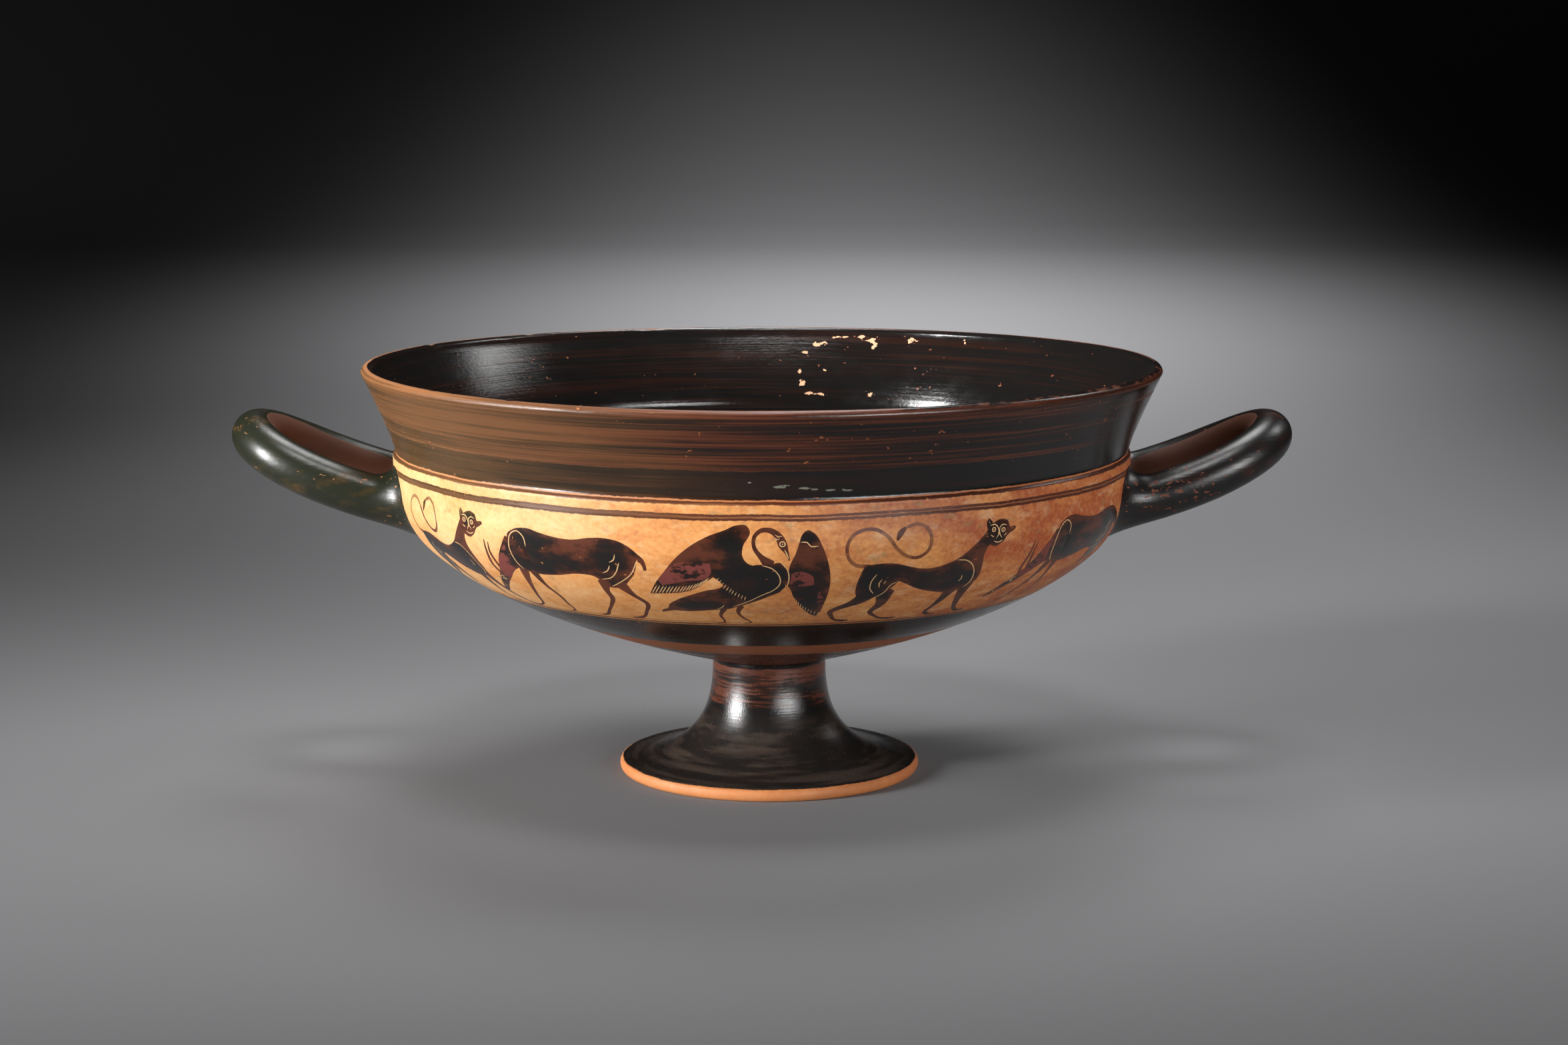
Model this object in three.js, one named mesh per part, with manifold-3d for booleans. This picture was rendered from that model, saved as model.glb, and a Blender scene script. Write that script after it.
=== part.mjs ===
// A Siana cup: a wide fired-clay drinking cup on a trumpet foot, with an offset lip and two loop handles.
// The potter threw the bowl and the foot, pulled the handles and joined them all before the firing,
// so the cup is one solid. Millimetres, +Z up, the foot's underside at Z = 0, the bowl's centre at X = Y = 0.
import * as THREE from 'three';
import { mergeVertices } from 'three/addons/utils/BufferGeometryUtils.js';
import Module from 'manifold-3d';

const wasm = await Module();
wasm.setup();

// The whole cup
const CUP_HEIGHT = 132.8; // to the crest of the rim
const RIM_RADIUS = 128; // outside, at the widest point of the rim

// The lip, which stands back from the bowl below it
const LIP_HEIGHT = 27.2; // from the ledge to the crest
const LIP_FOOT_RADIUS = 117.4; // outside, where the lip leaves the ledge
const LIP_WALL = 3.7;
const LIP_FLARE = 1.18; // 1 is a straight cone, more opens out towards the rim

// The bowl
const BOWL_RADIUS = 118.4; // outside, at the belly
const BOWL_WALL = 4.7;
const BELLY_HEIGHT = 8.9; // the upright band under the ledge
const LEDGE_FALL = 1.1; // how far the rounded ledge drops from the lip to the belly
const BOWL_DEPTH = 62.7; // outside, from the belly down to the lowest point
const FLOOR_WALL = 6.6; // between the bowl's floor and the hollow of the foot
const BOWL_SPREAD = 1.916; // powers of the bowl's curve, outwards and upwards
const BOWL_SWELL = 0.959;

// The stem and the foot
const STEM_RADIUS = 18.4;
const STEM_WALL = 6.4;
const FOOT_RADIUS = 48.9;
const FOOT_EDGE_HEIGHT = 4;
const FOOT_EDGE_ROUND = 1.3; // how far the middle of the edge stands out from its corners
const RESTING_RING = 7.5; // width of the flat ring that the cup stands on
const FLARE_RISE = 0.625; // powers of the foot's trumpet curve, upwards and outwards
const FLARE_SPREAD = 2.44;
const HOLLOW_SPREAD = 1.6; // the same as FLARE_SPREAD, for the hollow below
const HOLLOW_CORNER = 3; // rounding between the hollow's side and its roof

// The two handles, alike on both sides
const HANDLE_REACH = 170.6; // from the cup's middle to the outermost point
const HANDLE_THICKNESS = 14.3;
const HANDLE_ROOT_THICKNESS = 21; // height of the smeared clay where a limb leaves the bowl
const HANDLE_ROOT_SPACING = 52; // between the middles of the two limbs
const HANDLE_DROP = 16; // from the ledge down to the middle of the roots
const HANDLE_RISE = 20.2; // from the roots up to the outer bend
const HANDLE_BULGE = 0.25; // how much wider the loop is than its roots
const HANDLE_SQUARENESS = 0.64; // 1 is a round bend, less is a squarer one
const HANDLE_BEND = 0.55; // share of the rise that comes as an upward curve
const ROOT_BLEND = 3; // the smeared clay ends at one over this share of the reach
const ROOT_WIDENING = 0.25; // how much wider a root is than its limb, as a share

// How the cup settled in the kiln
const STEM_LEAN = 2.2; // the foot stands this far to +X of the bowl
const RIM_SADDLE = 0.9; // the rim is this much higher over the handles

// Fineness of the solid
const TURN_STEPS = 56; // around the cup
const BOWL_RINGS = 10;
const STEM_RINGS = 10;
const HOLLOW_RINGS = 7;
const LIP_RINGS = 5;
const RIM_RINGS = 6;
const EDGE_RINGS = 4;
const HANDLE_STEPS = 30;
const HANDLE_SIDES = 12;
const CROWDING = 2; // more puts more rings at the strongly curved end of the foot
const WELD = 1e-3; // points closer than this are one

// Heights and radii that follow from the sizes above
const ledgeZ = CUP_HEIGHT - LIP_HEIGHT;
const bellyTopZ = ledgeZ - LEDGE_FALL;
const bellyLowZ = bellyTopZ - BELLY_HEIGHT;
const bowlLowZ = bellyLowZ - BOWL_DEPTH;
const floorZ = bowlLowZ + FLOOR_WALL;
const rimRoll = LIP_WALL / 2;
const rimZ = CUP_HEIGHT - rimRoll;
const handleRadius = HANDLE_THICKNESS / 2;

const point = (radius, height) => new THREE.Vector2(radius, height);

// Points from one value of a parameter to another, both ends included.
function sweep(from, to, steps, pointAt) {
  return Array.from({ length: steps + 1 }, (_, i) => pointAt(from + ((to - from) * i) / steps));
}

function bowlPoint(turn, radius, lowZ) {
  const out = Math.sin(turn) ** BOWL_SPREAD;
  const up = 1 - Math.max(0, Math.cos(turn)) ** BOWL_SWELL;
  return point(radius * out, lowZ + (bellyLowZ - lowZ) * up);
}

function lipRadius(height) {
  const share = Math.max(0, (height - ledgeZ) / (rimZ - ledgeZ));
  return LIP_FOOT_RADIUS + (RIM_RADIUS - LIP_FOOT_RADIUS) * share ** LIP_FLARE;
}

// The stem meets the bowl where the bowl's curve is as wide as the stem.
const joinTurn = Math.asin((STEM_RADIUS / BOWL_RADIUS) ** (1 / BOWL_SPREAD));
const joinZ = bowlPoint(joinTurn, BOWL_RADIUS, bowlLowZ).y;

// The trumpet curve from a wide low end to a narrow high one.
function flarePoint(share, wide, narrow, lowZ, highZ, spread) {
  const out = Math.max(0, 1 - share ** FLARE_RISE) ** spread;
  return point(narrow + (wide - narrow) * out, lowZ + (highZ - lowZ) * share);
}

// The hollow under the foot, from the axis down to the resting ring.
function hollowProfile() {
  const radius = STEM_RADIUS - STEM_WALL;
  const ringRadius = FOOT_RADIUS - FOOT_EDGE_ROUND - RESTING_RING;
  const wall = (share) =>
    flarePoint(share ** CROWDING, ringRadius, radius, 0, bowlLowZ - HOLLOW_CORNER, HOLLOW_SPREAD);
  return [point(0, bowlLowZ), point(radius - HOLLOW_CORNER, bowlLowZ), ...sweep(1, 0, HOLLOW_RINGS, wall)];
}

// The foot's rounded edge, its top and the stem, up to where the stem meets the bowl.
function footProfile() {
  const cornerRadius = FOOT_RADIUS - FOOT_EDGE_ROUND;
  const edge = sweep(-1, 1, EDGE_RINGS, (side) =>
    point(cornerRadius + FOOT_EDGE_ROUND * Math.sqrt(1 - side ** 2), (FOOT_EDGE_HEIGHT * (1 + side)) / 2));
  const trumpet = (share) =>
    flarePoint(share ** CROWDING, cornerRadius, STEM_RADIUS, FOOT_EDGE_HEIGHT, joinZ, FLARE_SPREAD);
  return [...edge, ...sweep(0, 1, STEM_RINGS, trumpet).slice(1)];
}

// The outside of the bowl, from the stem up to the rounded ledge, whose bend is a quarter of an oval.
function bowlProfile() {
  const curve = sweep(joinTurn, Math.PI / 2, BOWL_RINGS, (turn) => bowlPoint(turn, BOWL_RADIUS, bowlLowZ));
  const bend = point(
    LIP_FOOT_RADIUS + (BOWL_RADIUS - LIP_FOOT_RADIUS) * Math.SQRT1_2,
    bellyTopZ + LEDGE_FALL * Math.SQRT1_2,
  );
  return [...curve.slice(1), point(BOWL_RADIUS, bellyTopZ), bend];
}

// The lip outside, the rolled rim and the lip inside.
function lipProfile() {
  const outside = sweep(ledgeZ, rimZ, LIP_RINGS, (z) => point(lipRadius(z), z));
  const rim = sweep(0, Math.PI, RIM_RINGS, (turn) =>
    point(RIM_RADIUS - rimRoll + rimRoll * Math.cos(turn), rimZ + rimRoll * Math.sin(turn)));
  const inside = sweep(rimZ, ledgeZ, LIP_RINGS - 1, (z) => point(lipRadius(z) - LIP_WALL, z));
  return [...outside, ...rim.slice(1, -1), ...inside];
}

// The inside of the bowl from its belly down to the floor, moved into the wall by grow.
function insideProfile(grow) {
  const radius = BOWL_RADIUS - BOWL_WALL + grow;
  return sweep(Math.PI / 2, 0, BOWL_RINGS, (turn) => bowlPoint(turn, radius, floorZ - grow));
}

function lathe(profile) {
  return new THREE.LatheGeometry(profile, TURN_STEPS).rotateX(Math.PI / 2);
}

// A closed, welded shell as a solid that can be joined and cut.
function toSolid(geometry) {
  geometry.deleteAttribute('normal');
  geometry.deleteAttribute('uv');
  const welded = mergeVertices(geometry, WELD);
  const corners = [];
  for (let i = 0; i < welded.index.count; i += 3) {
    const [a, b, c] = [0, 1, 2].map((k) => welded.index.getX(i + k));
    if (a !== b && b !== c && c !== a) corners.push(a, b, c);
  }
  const vertProperties = Float32Array.from(welded.attributes.position.array);
  return new wasm.Manifold(new wasm.Mesh({ numProp: 3, vertProperties, triVerts: Uint32Array.from(corners) }));
}

function toGeometry(solid) {
  const mesh = solid.getMesh();
  const geometry = new THREE.BufferGeometry();
  geometry.setAttribute('position', new THREE.BufferAttribute(mesh.vertProperties, 3));
  geometry.setIndex(new THREE.BufferAttribute(mesh.triVerts, 1));
  return geometry;
}

// The middle line of a handle, on the side that side (1 or -1) names, and its oval section's half sizes.
function handleRing(share, side) {
  const turn = Math.PI * share;
  const start = BOWL_RADIUS - 2 * BOWL_WALL;
  const out = Math.sin(turn) ** HANDLE_SQUARENESS;
  const rise = out * (1 - HANDLE_BEND) + out ** 2 * HANDLE_BEND;
  const across = (HANDLE_ROOT_SPACING / 2) * Math.cos(turn) * (1 + HANDLE_BULGE * Math.sin(turn) ** 2);
  const smear = Math.max(0, 1 - ROOT_BLEND * out) ** 2;
  return {
    centre: new THREE.Vector3(
      side * (start + (HANDLE_REACH - handleRadius - start) * out),
      -side * across,
      ledgeZ - HANDLE_DROP + HANDLE_RISE * rise,
    ),
    halfWidth: handleRadius * (1 + ROOT_WIDENING * smear),
    halfHeight: handleRadius + (HANDLE_ROOT_THICKNESS / 2 - handleRadius) * smear,
  };
}

// A closed tube of oval rings along a handle's middle line. Both ends run on through the bowl's wall.
function handle(side) {
  const loop = sweep(0, 1, HANDLE_STEPS - 2, (share) => handleRing(share, side));
  const inwards = new THREE.Vector3(-side * HANDLE_ROOT_THICKNESS, 0, 0);
  const sunk = (ring) => ({ ...ring, centre: ring.centre.clone().add(inwards) });
  const rings = [sunk(loop[0]), ...loop, sunk(loop.at(-1))];
  const up = new THREE.Vector3(0, 0, 1);
  const vertices = [];
  rings.forEach((ring, i) => {
    const before = rings[Math.max(0, i - 1)].centre;
    const after = rings[Math.min(HANDLE_STEPS, i + 1)].centre;
    const along = after.clone().sub(before).normalize();
    const sideways = along.clone().cross(up).normalize();
    const upright = sideways.clone().cross(along);
    for (let k = 0; k < HANDLE_SIDES; k += 1) {
      const angle = (2 * Math.PI * k) / HANDLE_SIDES;
      vertices.push(ring.centre.clone()
        .addScaledVector(sideways, ring.halfWidth * Math.cos(angle))
        .addScaledVector(upright, ring.halfHeight * Math.sin(angle)));
    }
  });
  const corners = [];
  for (let i = 0; i < HANDLE_STEPS; i += 1) {
    for (let k = 0; k < HANDLE_SIDES; k += 1) {
      const [a, b] = [i * HANDLE_SIDES + k, i * HANDLE_SIDES + ((k + 1) % HANDLE_SIDES)];
      corners.push(a, a + HANDLE_SIDES, b, b, a + HANDLE_SIDES, b + HANDLE_SIDES);
    }
  }
  const last = HANDLE_STEPS * HANDLE_SIDES;
  for (let k = 1; k < HANDLE_SIDES - 1; k += 1) {
    corners.push(0, k, k + 1, last, last + k + 1, last + k);
  }
  return new THREE.BufferGeometry().setFromPoints(vertices).setIndex(corners);
}

// The small slump of the kiln: the foot stands off to one side and the rim rises over the handles.
function settle(geometry) {
  const position = geometry.attributes.position;
  for (let i = 0; i < position.count; i += 1) {
    const [x, y, z] = [position.getX(i), position.getY(i), position.getZ(i)];
    const leaning = 1 - THREE.MathUtils.smoothstep(z, bowlLowZ, ledgeZ);
    const lifted = THREE.MathUtils.smoothstep(z, bowlLowZ, CUP_HEIGHT);
    const towardsHandle = x ** 2 / (x ** 2 + y ** 2 + 1);
    position.setXYZ(i, x + STEM_LEAN * leaning, y, z + RIM_SADDLE * lifted * towardsHandle);
  }
  return geometry;
}

function cupGeometry() {
  const profile = [
    ...hollowProfile(), ...footProfile(), ...bowlProfile(), ...lipProfile(), ...insideProfile(0).slice(1),
  ];
  const vessel = toSolid(lathe(profile));
  // The handles stop in the middle of the bowl's wall, so the inside stays smooth.
  const wallMiddle = [...insideProfile(BOWL_WALL / 2).reverse(), point(0, bellyLowZ)];
  const upperInside = [
    point(0, bellyLowZ - BOWL_WALL), point(BOWL_RADIUS - BOWL_WALL / 2, bellyLowZ - BOWL_WALL),
    point(BOWL_RADIUS - BOWL_WALL / 2, CUP_HEIGHT), point(0, CUP_HEIGHT),
  ];
  const inside = toSolid(lathe(wallMiddle)).add(toSolid(lathe(upperInside)));
  const handles = toSolid(handle(1)).add(toSolid(handle(-1))).subtract(inside);
  return settle(toGeometry(vessel.add(handles)));
}

const glazedClay = new THREE.MeshStandardMaterial({ color: 0x2a211c, roughness: 0.35, metalness: 0 });
const cup = new THREE.Mesh(cupGeometry(), glazedClay);
cup.name = 'cup';

const group = new THREE.Group();
group.add(cup);

export default group;
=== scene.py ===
"""A black-figure Siana cup: thrown, painted with slip and fired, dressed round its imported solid.

The cup is one closed mesh. Its turned body follows one section line, the painted band is cut along the
outlines of its animals, and the two pulled handles grow out of the wall on rounded roots. A node tree
throws the blank on the wheel and settles it in the kiln. Sizes are millimetres unless they say otherwise.
"""

import logging
import math
from collections.abc import Iterable, Sequence
from dataclasses import dataclass, field, replace
from enum import Enum
from typing import Any

import bpy
import numpy as np
from bpy.types import NodeTree
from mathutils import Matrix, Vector
from mathutils.geometry import delaunay_2d_cdt
from mathutils.kdtree import KDTree


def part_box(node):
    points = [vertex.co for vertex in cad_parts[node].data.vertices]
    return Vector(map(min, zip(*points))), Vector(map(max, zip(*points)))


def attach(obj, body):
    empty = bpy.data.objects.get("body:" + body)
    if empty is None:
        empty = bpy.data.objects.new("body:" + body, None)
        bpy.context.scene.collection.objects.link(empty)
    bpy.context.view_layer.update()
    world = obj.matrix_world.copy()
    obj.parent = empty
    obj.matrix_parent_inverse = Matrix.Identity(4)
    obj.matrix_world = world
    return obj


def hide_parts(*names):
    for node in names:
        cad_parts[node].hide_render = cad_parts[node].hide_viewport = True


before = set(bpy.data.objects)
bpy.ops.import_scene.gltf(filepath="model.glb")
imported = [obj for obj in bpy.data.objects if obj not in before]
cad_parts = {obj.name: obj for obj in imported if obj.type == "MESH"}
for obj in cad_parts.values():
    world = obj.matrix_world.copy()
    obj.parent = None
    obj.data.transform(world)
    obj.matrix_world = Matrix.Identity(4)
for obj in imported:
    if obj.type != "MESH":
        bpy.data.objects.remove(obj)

LOG = logging.getLogger("siana_cup")
MM = 0.001  # metres in a millimetre
SHARP_TURN = 70.0  # degrees from which a line keeps a crisp corner
DRUM = 112.0  # radius of the drum on which the painted band is unrolled
BODY = "root"
NODE = "cup"
MATH, VECTOR_MATH = "ShaderNodeMath", "ShaderNodeVectorMath"
TIMES, MINUS, LARGER = ((MATH, operation) for operation in ("MULTIPLY", "SUBTRACT", "MAXIMUM"))
MAP_RANGE, MIX = "ShaderNodeMapRange", "ShaderNodeMix"


def linear(colour: str) -> tuple[float, float, float, float]:
    """Turns a colour as it is seen into the renderer's own light values.

    Args:
        colour: an sRGB hex colour such as "#c8875a".

    Returns:
        Linear red, green, blue and an alpha of one.
    """
    shares = [int(colour[i:i + 2], 16) / 255 for i in (1, 3, 5)]
    red, green, blue = (c / 12.92 if c <= 0.04045 else ((c + 0.055) / 1.055) ** 2.4 for c in shares)
    return red, green, blue, 1.0


def add(tree: NodeTree, kind: str | tuple[str, str], inputs: dict[Any, Any] | Sequence[Any] = (),
        **settings: Any) -> Any:
    """Adds a node with its settings, plain input values and links.

    Args:
        tree: the tree that takes the node.
        kind: the node's type name, or a pair of that and its operation.
        inputs: a value, a linked socket or a node for each input, in their order or by name or place.
        settings: the node's own properties.

    Returns:
        The new node.
    """
    if isinstance(kind, tuple):
        kind, settings["operation"] = kind
    node = tree.nodes.new(kind)
    for name, value in settings.items():
        setattr(node, name, value)
    for key, value in inputs.items() if isinstance(inputs, dict) else enumerate(inputs):
        if isinstance(value, bpy.types.Node):
            value = value.outputs[0]
        if isinstance(value, bpy.types.NodeSocket):
            tree.links.new(value, node.inputs[key])
        else:
            node.inputs[key].default_value = value
    return node


def smooth_path(points: Sequence[Sequence[float]], step: float, closed: bool = False) -> np.ndarray:
    """Runs a smooth curve through points, with a crisp corner where the line turns sharply.

    Args:
        points: the points, whose first two values are a place. Further values are carried along.
        step: the longest piece of the finished line.
        closed: whether the last point joins the first.

    Returns:
        The curve's points, one row each.
    """
    sharpest = math.cos(math.radians(SHARP_TURN))
    knots = np.asarray(points, float)
    before = knots - np.roll(knots, 1, 0)
    after = np.roll(knots, -1, 0) - knots
    if not closed:
        before[0], after[-1] = after[0], before[-1]
    long_before = np.linalg.norm(before[:, :2], axis=1)[:, None]
    long_after = np.linalg.norm(after[:, :2], axis=1)[:, None]
    way_in, way_out = before / long_before, after / long_after
    slope = (way_in * long_after + way_out * long_before) / (long_before + long_after)
    turning = (way_in[:, :2] * way_out[:, :2]).sum(1)
    slope[turning < sharpest] = 0
    line = []
    for i in range(len(knots) if closed else len(knots) - 1):
        j = (i + 1) % len(knots)
        length = long_after[i, 0]
        t = np.arange(max(1, math.ceil(length / step)))[:, None] / max(1, math.ceil(length / step))
        line.append(
            (2 * t**3 - 3 * t**2 + 1) * knots[i] + (t**3 - 2 * t**2 + t) * length * slope[i]
            + (3 * t**2 - 2 * t**3) * knots[j] + (t**3 - t**2) * length * slope[j]
        )
    if not closed:
        line.append(knots[-1:])
    return np.vstack(line)


def inside(outline: np.ndarray, places: np.ndarray) -> np.ndarray:
    """Tells which places lie within a closed outline.

    Args:
        outline: the outline's corners.
        places: the places to test.

    Returns:
        One truth value for each place.
    """
    found = np.zeros(len(places), bool)
    low, high = outline.min(0), outline.max(0)
    near = np.flatnonzero(((places >= low) & (places <= high)).all(1))
    if not len(near):
        return found
    x, y = places[near].T[:, :, None]
    x0, y0 = outline.T[:, None, :]
    x1, y1 = np.roll(outline, -1, 0).T[:, None, :]
    rise = np.where(y1 == y0, 1.0, y1 - y0)
    crossed = ((y0 > y) != (y1 > y)) & (x < x0 + (y - y0) / rise * (x1 - x0))
    found[near] = crossed.sum(1) % 2 == 1
    return found


@dataclass(frozen=True)
class CupSizes:
    """The cup's sizes before it settled in the kiln."""

    rim_radius: float
    handle_reach: float
    height: float
    lip_height: float = 27.2
    lip_foot_radius: float = 117.4
    lip_wall: float = 3.7
    lip_flare: float = 1.18
    bowl_radius: float = 118.4
    bowl_wall: float = 4.7
    belly_height: float = 8.9
    ledge_fall: float = 1.1
    bowl_depth: float = 62.7
    floor_wall: float = 6.6
    bowl_spread: float = 1.916
    bowl_swell: float = 0.959
    stem_radius: float = 18.4
    stem_wall: float = 6.4
    foot_radius: float = 48.9
    foot_edge_height: float = 4.0
    foot_edge_round: float = 1.3
    resting_ring: float = 7.5
    flare_rise: float = 0.625
    flare_spread: float = 2.44
    hollow_spread: float = 1.6
    hollow_corner: float = 3.0
    stem_lean: float = 2.2
    rim_saddle: float = 0.9
    ridge: float = 2.6  # how far the inside stands in where the lip was joined on
    inner_flare: float = 1.3

    @classmethod
    def from_frame(cls) -> "CupSizes":
        """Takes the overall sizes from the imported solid's box.

        Returns:
            The cup's sizes.
        """
        low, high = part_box(NODE)
        width, depth, height = (side / MM for side in high - low)
        return cls(rim_radius=depth / 2, handle_reach=width / 2, height=height - cls.rim_saddle)

    @property
    def ledge_z(self) -> float:
        """Height of the ledge that the lip stands on."""
        return self.height - self.lip_height

    @property
    def belly_z(self) -> float:
        """Height where the bowl's curve ends and its upright belly starts."""
        return self.ledge_z - self.ledge_fall - self.belly_height

    @property
    def bowl_low_z(self) -> float:
        """Height of the lowest point of the bowl's outer curve."""
        return self.belly_z - self.bowl_depth

    @property
    def rim_roll(self) -> float:
        """Radius of the rounded crest of the rim."""
        return self.lip_wall / 2


class TurnedSection:
    """The section that is turned round the axis, as one line.

    The line runs from the roof of the foot's hollow round the foot, up the outside, over the rim and down
    to the middle of the floor. A place on it is its distance along the line from the band's ground line.
    """

    GROUND_Z = 66.0  # height of the line that the animals walk on
    FINE = 160  # points on each stretch of the line
    EDGE_POINTS = 24  # on the foot's edge, and on the ridge inside
    LEDGE_POINTS = 12
    CREST_POINTS = 32

    def __init__(self, sizes: CupSizes) -> None:
        """Works out the line and where each stretch of it starts and ends.

        Args:
            sizes: the cup's sizes.
        """
        self.sizes = sizes
        stretches = {
            "hollow": self.hollow(),
            "rest": self.rest(),
            "foot_edge": self.foot_edge(),
            "foot": self.foot(),
            "bowl": self.bowl(),
            "lip": self.lip(),
            "rim": self.rim(),
            "lip_inside": self.lip_inside(),
            "inside": self.inside(),
        }
        self.line = np.vstack(list(stretches.values()))
        steps = np.linalg.norm(np.diff(self.line, axis=0), axis=1)
        self.along = np.concatenate([[0.0], np.cumsum(steps)])
        ends = np.cumsum([len(points) for points in stretches.values()])
        starts = ends - [len(points) for points in stretches.values()]
        self.spans = {name: (a, b) for name, a, b in zip(stretches, starts, ends)}
        self.along -= self.at_height("bowl", self.GROUND_Z)

    def bowl_curve(self, turn: np.ndarray, radius: float, low_z: float) -> np.ndarray:
        """Points of the bowl's curve, outside or inside.

        Args:
            turn: places on the curve, from nought at the axis to a right angle at the belly.
            radius: the curve's widest radius.
            low_z: height of its lowest point.

        Returns:
            Rows of radius and height.
        """
        s = self.sizes
        out = np.sin(turn) ** s.bowl_spread
        up = 1 - np.maximum(0, np.cos(turn)) ** s.bowl_swell
        return np.stack([radius * out, low_z + (s.belly_z - low_z) * up], 1)

    def join_turn(self) -> float:
        """Where on the bowl's curve the stem meets it."""
        s = self.sizes
        return math.asin((s.stem_radius / s.bowl_radius) ** (1 / s.bowl_spread))

    def flare(self, wide: float, narrow: float, low_z: float, high_z: float, spread: float) -> np.ndarray:
        """Points of a trumpet curve from its wide low end to its narrow high one.

        Args:
            wide: radius of the low end.
            narrow: radius of the high end.
            low_z: height of the low end.
            high_z: height of the high end.
            spread: how sharply the curve opens at the low end.

        Returns:
            Rows of radius and height.
        """
        share = np.linspace(0, 1, self.FINE) ** 2
        out = np.maximum(0, 1 - share ** self.sizes.flare_rise) ** spread
        return np.stack([narrow + (wide - narrow) * out, low_z + (high_z - low_z) * share], 1)

    def hollow(self) -> np.ndarray:
        """The hollow under the foot, from its roof down to the resting ring.

        Returns:
            Rows of radius and height.
        """
        s = self.sizes
        radius = s.stem_radius - s.stem_wall
        ring = s.foot_radius - s.foot_edge_round - s.resting_ring
        roof = [[0, s.bowl_low_z], [radius - s.hollow_corner, s.bowl_low_z]]
        side = self.flare(ring, radius, 0, s.bowl_low_z - s.hollow_corner, s.hollow_spread)
        return np.vstack([roof, side[::-1]])

    def rest(self) -> np.ndarray:
        """The flat ring that the cup stands on."""
        corner = self.sizes.foot_radius - self.sizes.foot_edge_round
        return np.array([[corner - self.sizes.resting_ring, 0], [corner, 0]])

    def foot_edge(self) -> np.ndarray:
        """The foot's rounded outer edge.

        Returns:
            Rows of radius and height.
        """
        s = self.sizes
        side = np.linspace(-math.pi / 2, math.pi / 2, self.EDGE_POINTS)
        corner = s.foot_radius - s.foot_edge_round
        return np.stack([corner + s.foot_edge_round * np.cos(side), s.foot_edge_height * (1 + np.sin(side)) / 2], 1)

    def foot(self) -> np.ndarray:
        """The top of the foot and the stem, up to the bowl.

        Returns:
            Rows of radius and height.
        """
        s = self.sizes
        join = self.bowl_curve(np.array([self.join_turn()]), s.bowl_radius, s.bowl_low_z)[0, 1]
        corner = s.foot_radius - s.foot_edge_round
        return self.flare(corner, s.stem_radius, s.foot_edge_height, join, s.flare_spread)

    def bowl(self) -> np.ndarray:
        """The outside of the bowl, its upright belly and the rounded ledge.

        Returns:
            Rows of radius and height.
        """
        s = self.sizes
        curve = self.bowl_curve(np.linspace(self.join_turn(), math.pi / 2, self.FINE * 2), s.bowl_radius, s.bowl_low_z)
        bend = np.linspace(0, math.pi / 2, self.LEDGE_POINTS)
        step = s.bowl_radius - s.lip_foot_radius
        ledge = np.stack([
            s.lip_foot_radius + step * np.cos(bend),
            s.ledge_z - s.ledge_fall + s.ledge_fall * np.sin(bend),
        ], 1)
        return np.vstack([curve, ledge])

    def lip(self) -> np.ndarray:
        """The lip's outer face, from the ledge up to the rolled rim.

        Returns:
            Rows of radius and height.
        """
        s = self.sizes
        share = np.linspace(0, 1, self.FINE)
        radius = s.lip_foot_radius + (s.rim_radius - s.lip_foot_radius) * share**s.lip_flare
        return np.stack([radius, s.ledge_z + (s.height - s.rim_roll - s.ledge_z) * share], 1)

    def lip_inside(self) -> np.ndarray:
        """The lip's inner face, from the rim down to the soft ridge where lip and bowl were joined.

        Returns:
            Rows of radius and height.
        """
        s = self.sizes
        share = np.linspace(1, 0, self.FINE)
        foot = s.bowl_radius - s.bowl_wall - s.ridge
        radius = foot + (s.rim_radius - s.lip_wall - foot) * share**s.inner_flare
        return np.stack([radius, s.ledge_z + (s.height - s.rim_roll - s.ledge_z) * share], 1)

    def rim(self) -> np.ndarray:
        """The rounded crest of the rim, from outside to inside.

        Returns:
            Rows of radius and height.
        """
        s = self.sizes
        turn = np.linspace(0, math.pi, self.CREST_POINTS)
        return np.stack([
            s.rim_radius - s.rim_roll + s.rim_roll * np.cos(turn),
            s.height - s.rim_roll + s.rim_roll * np.sin(turn),
        ], 1)

    def inside(self) -> np.ndarray:
        """The inside of the bowl, down to the middle of its floor.

        Returns:
            Rows of radius and height.
        """
        s = self.sizes
        turn = np.linspace(math.pi / 2, 0, self.FINE * 2)
        bowl = self.bowl_curve(turn, s.bowl_radius - s.bowl_wall, s.bowl_low_z + s.floor_wall)
        share = np.linspace(0, 1, self.EDGE_POINTS)[1:-1]
        fading = 0.5 + 0.5 * np.cos(math.pi * share)
        ridge = np.stack([bowl[0, 0] - s.ridge * fading, s.ledge_z + (s.belly_z - s.ledge_z) * share], 1)
        return np.vstack([ridge, bowl])

    def at(self, along: np.ndarray | float) -> tuple[np.ndarray, np.ndarray]:
        """Radius and height at a distance along the line."""
        return np.interp(along, self.along, self.line[:, 0]), np.interp(along, self.along, self.line[:, 1])

    def at_height(self, stretch: str, z: float) -> float:
        """Distance along the line where a stretch that only rises, or only falls, reaches a height.

        Args:
            stretch: the stretch's name.
            z: the height.

        Returns:
            The distance along the line.
        """
        start, end = self.spans[stretch]
        heights, places = self.line[start:end, 1], self.along[start:end]
        if heights[-1] < heights[0]:
            heights, places = heights[::-1], places[::-1]
        return float(np.interp(z, heights, places))

    def span(self, stretch: str) -> tuple[float, float]:
        """Where a stretch starts and ends along the line."""
        start, end = self.spans[stretch]
        return self.along[start], self.along[end - 1]


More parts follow.
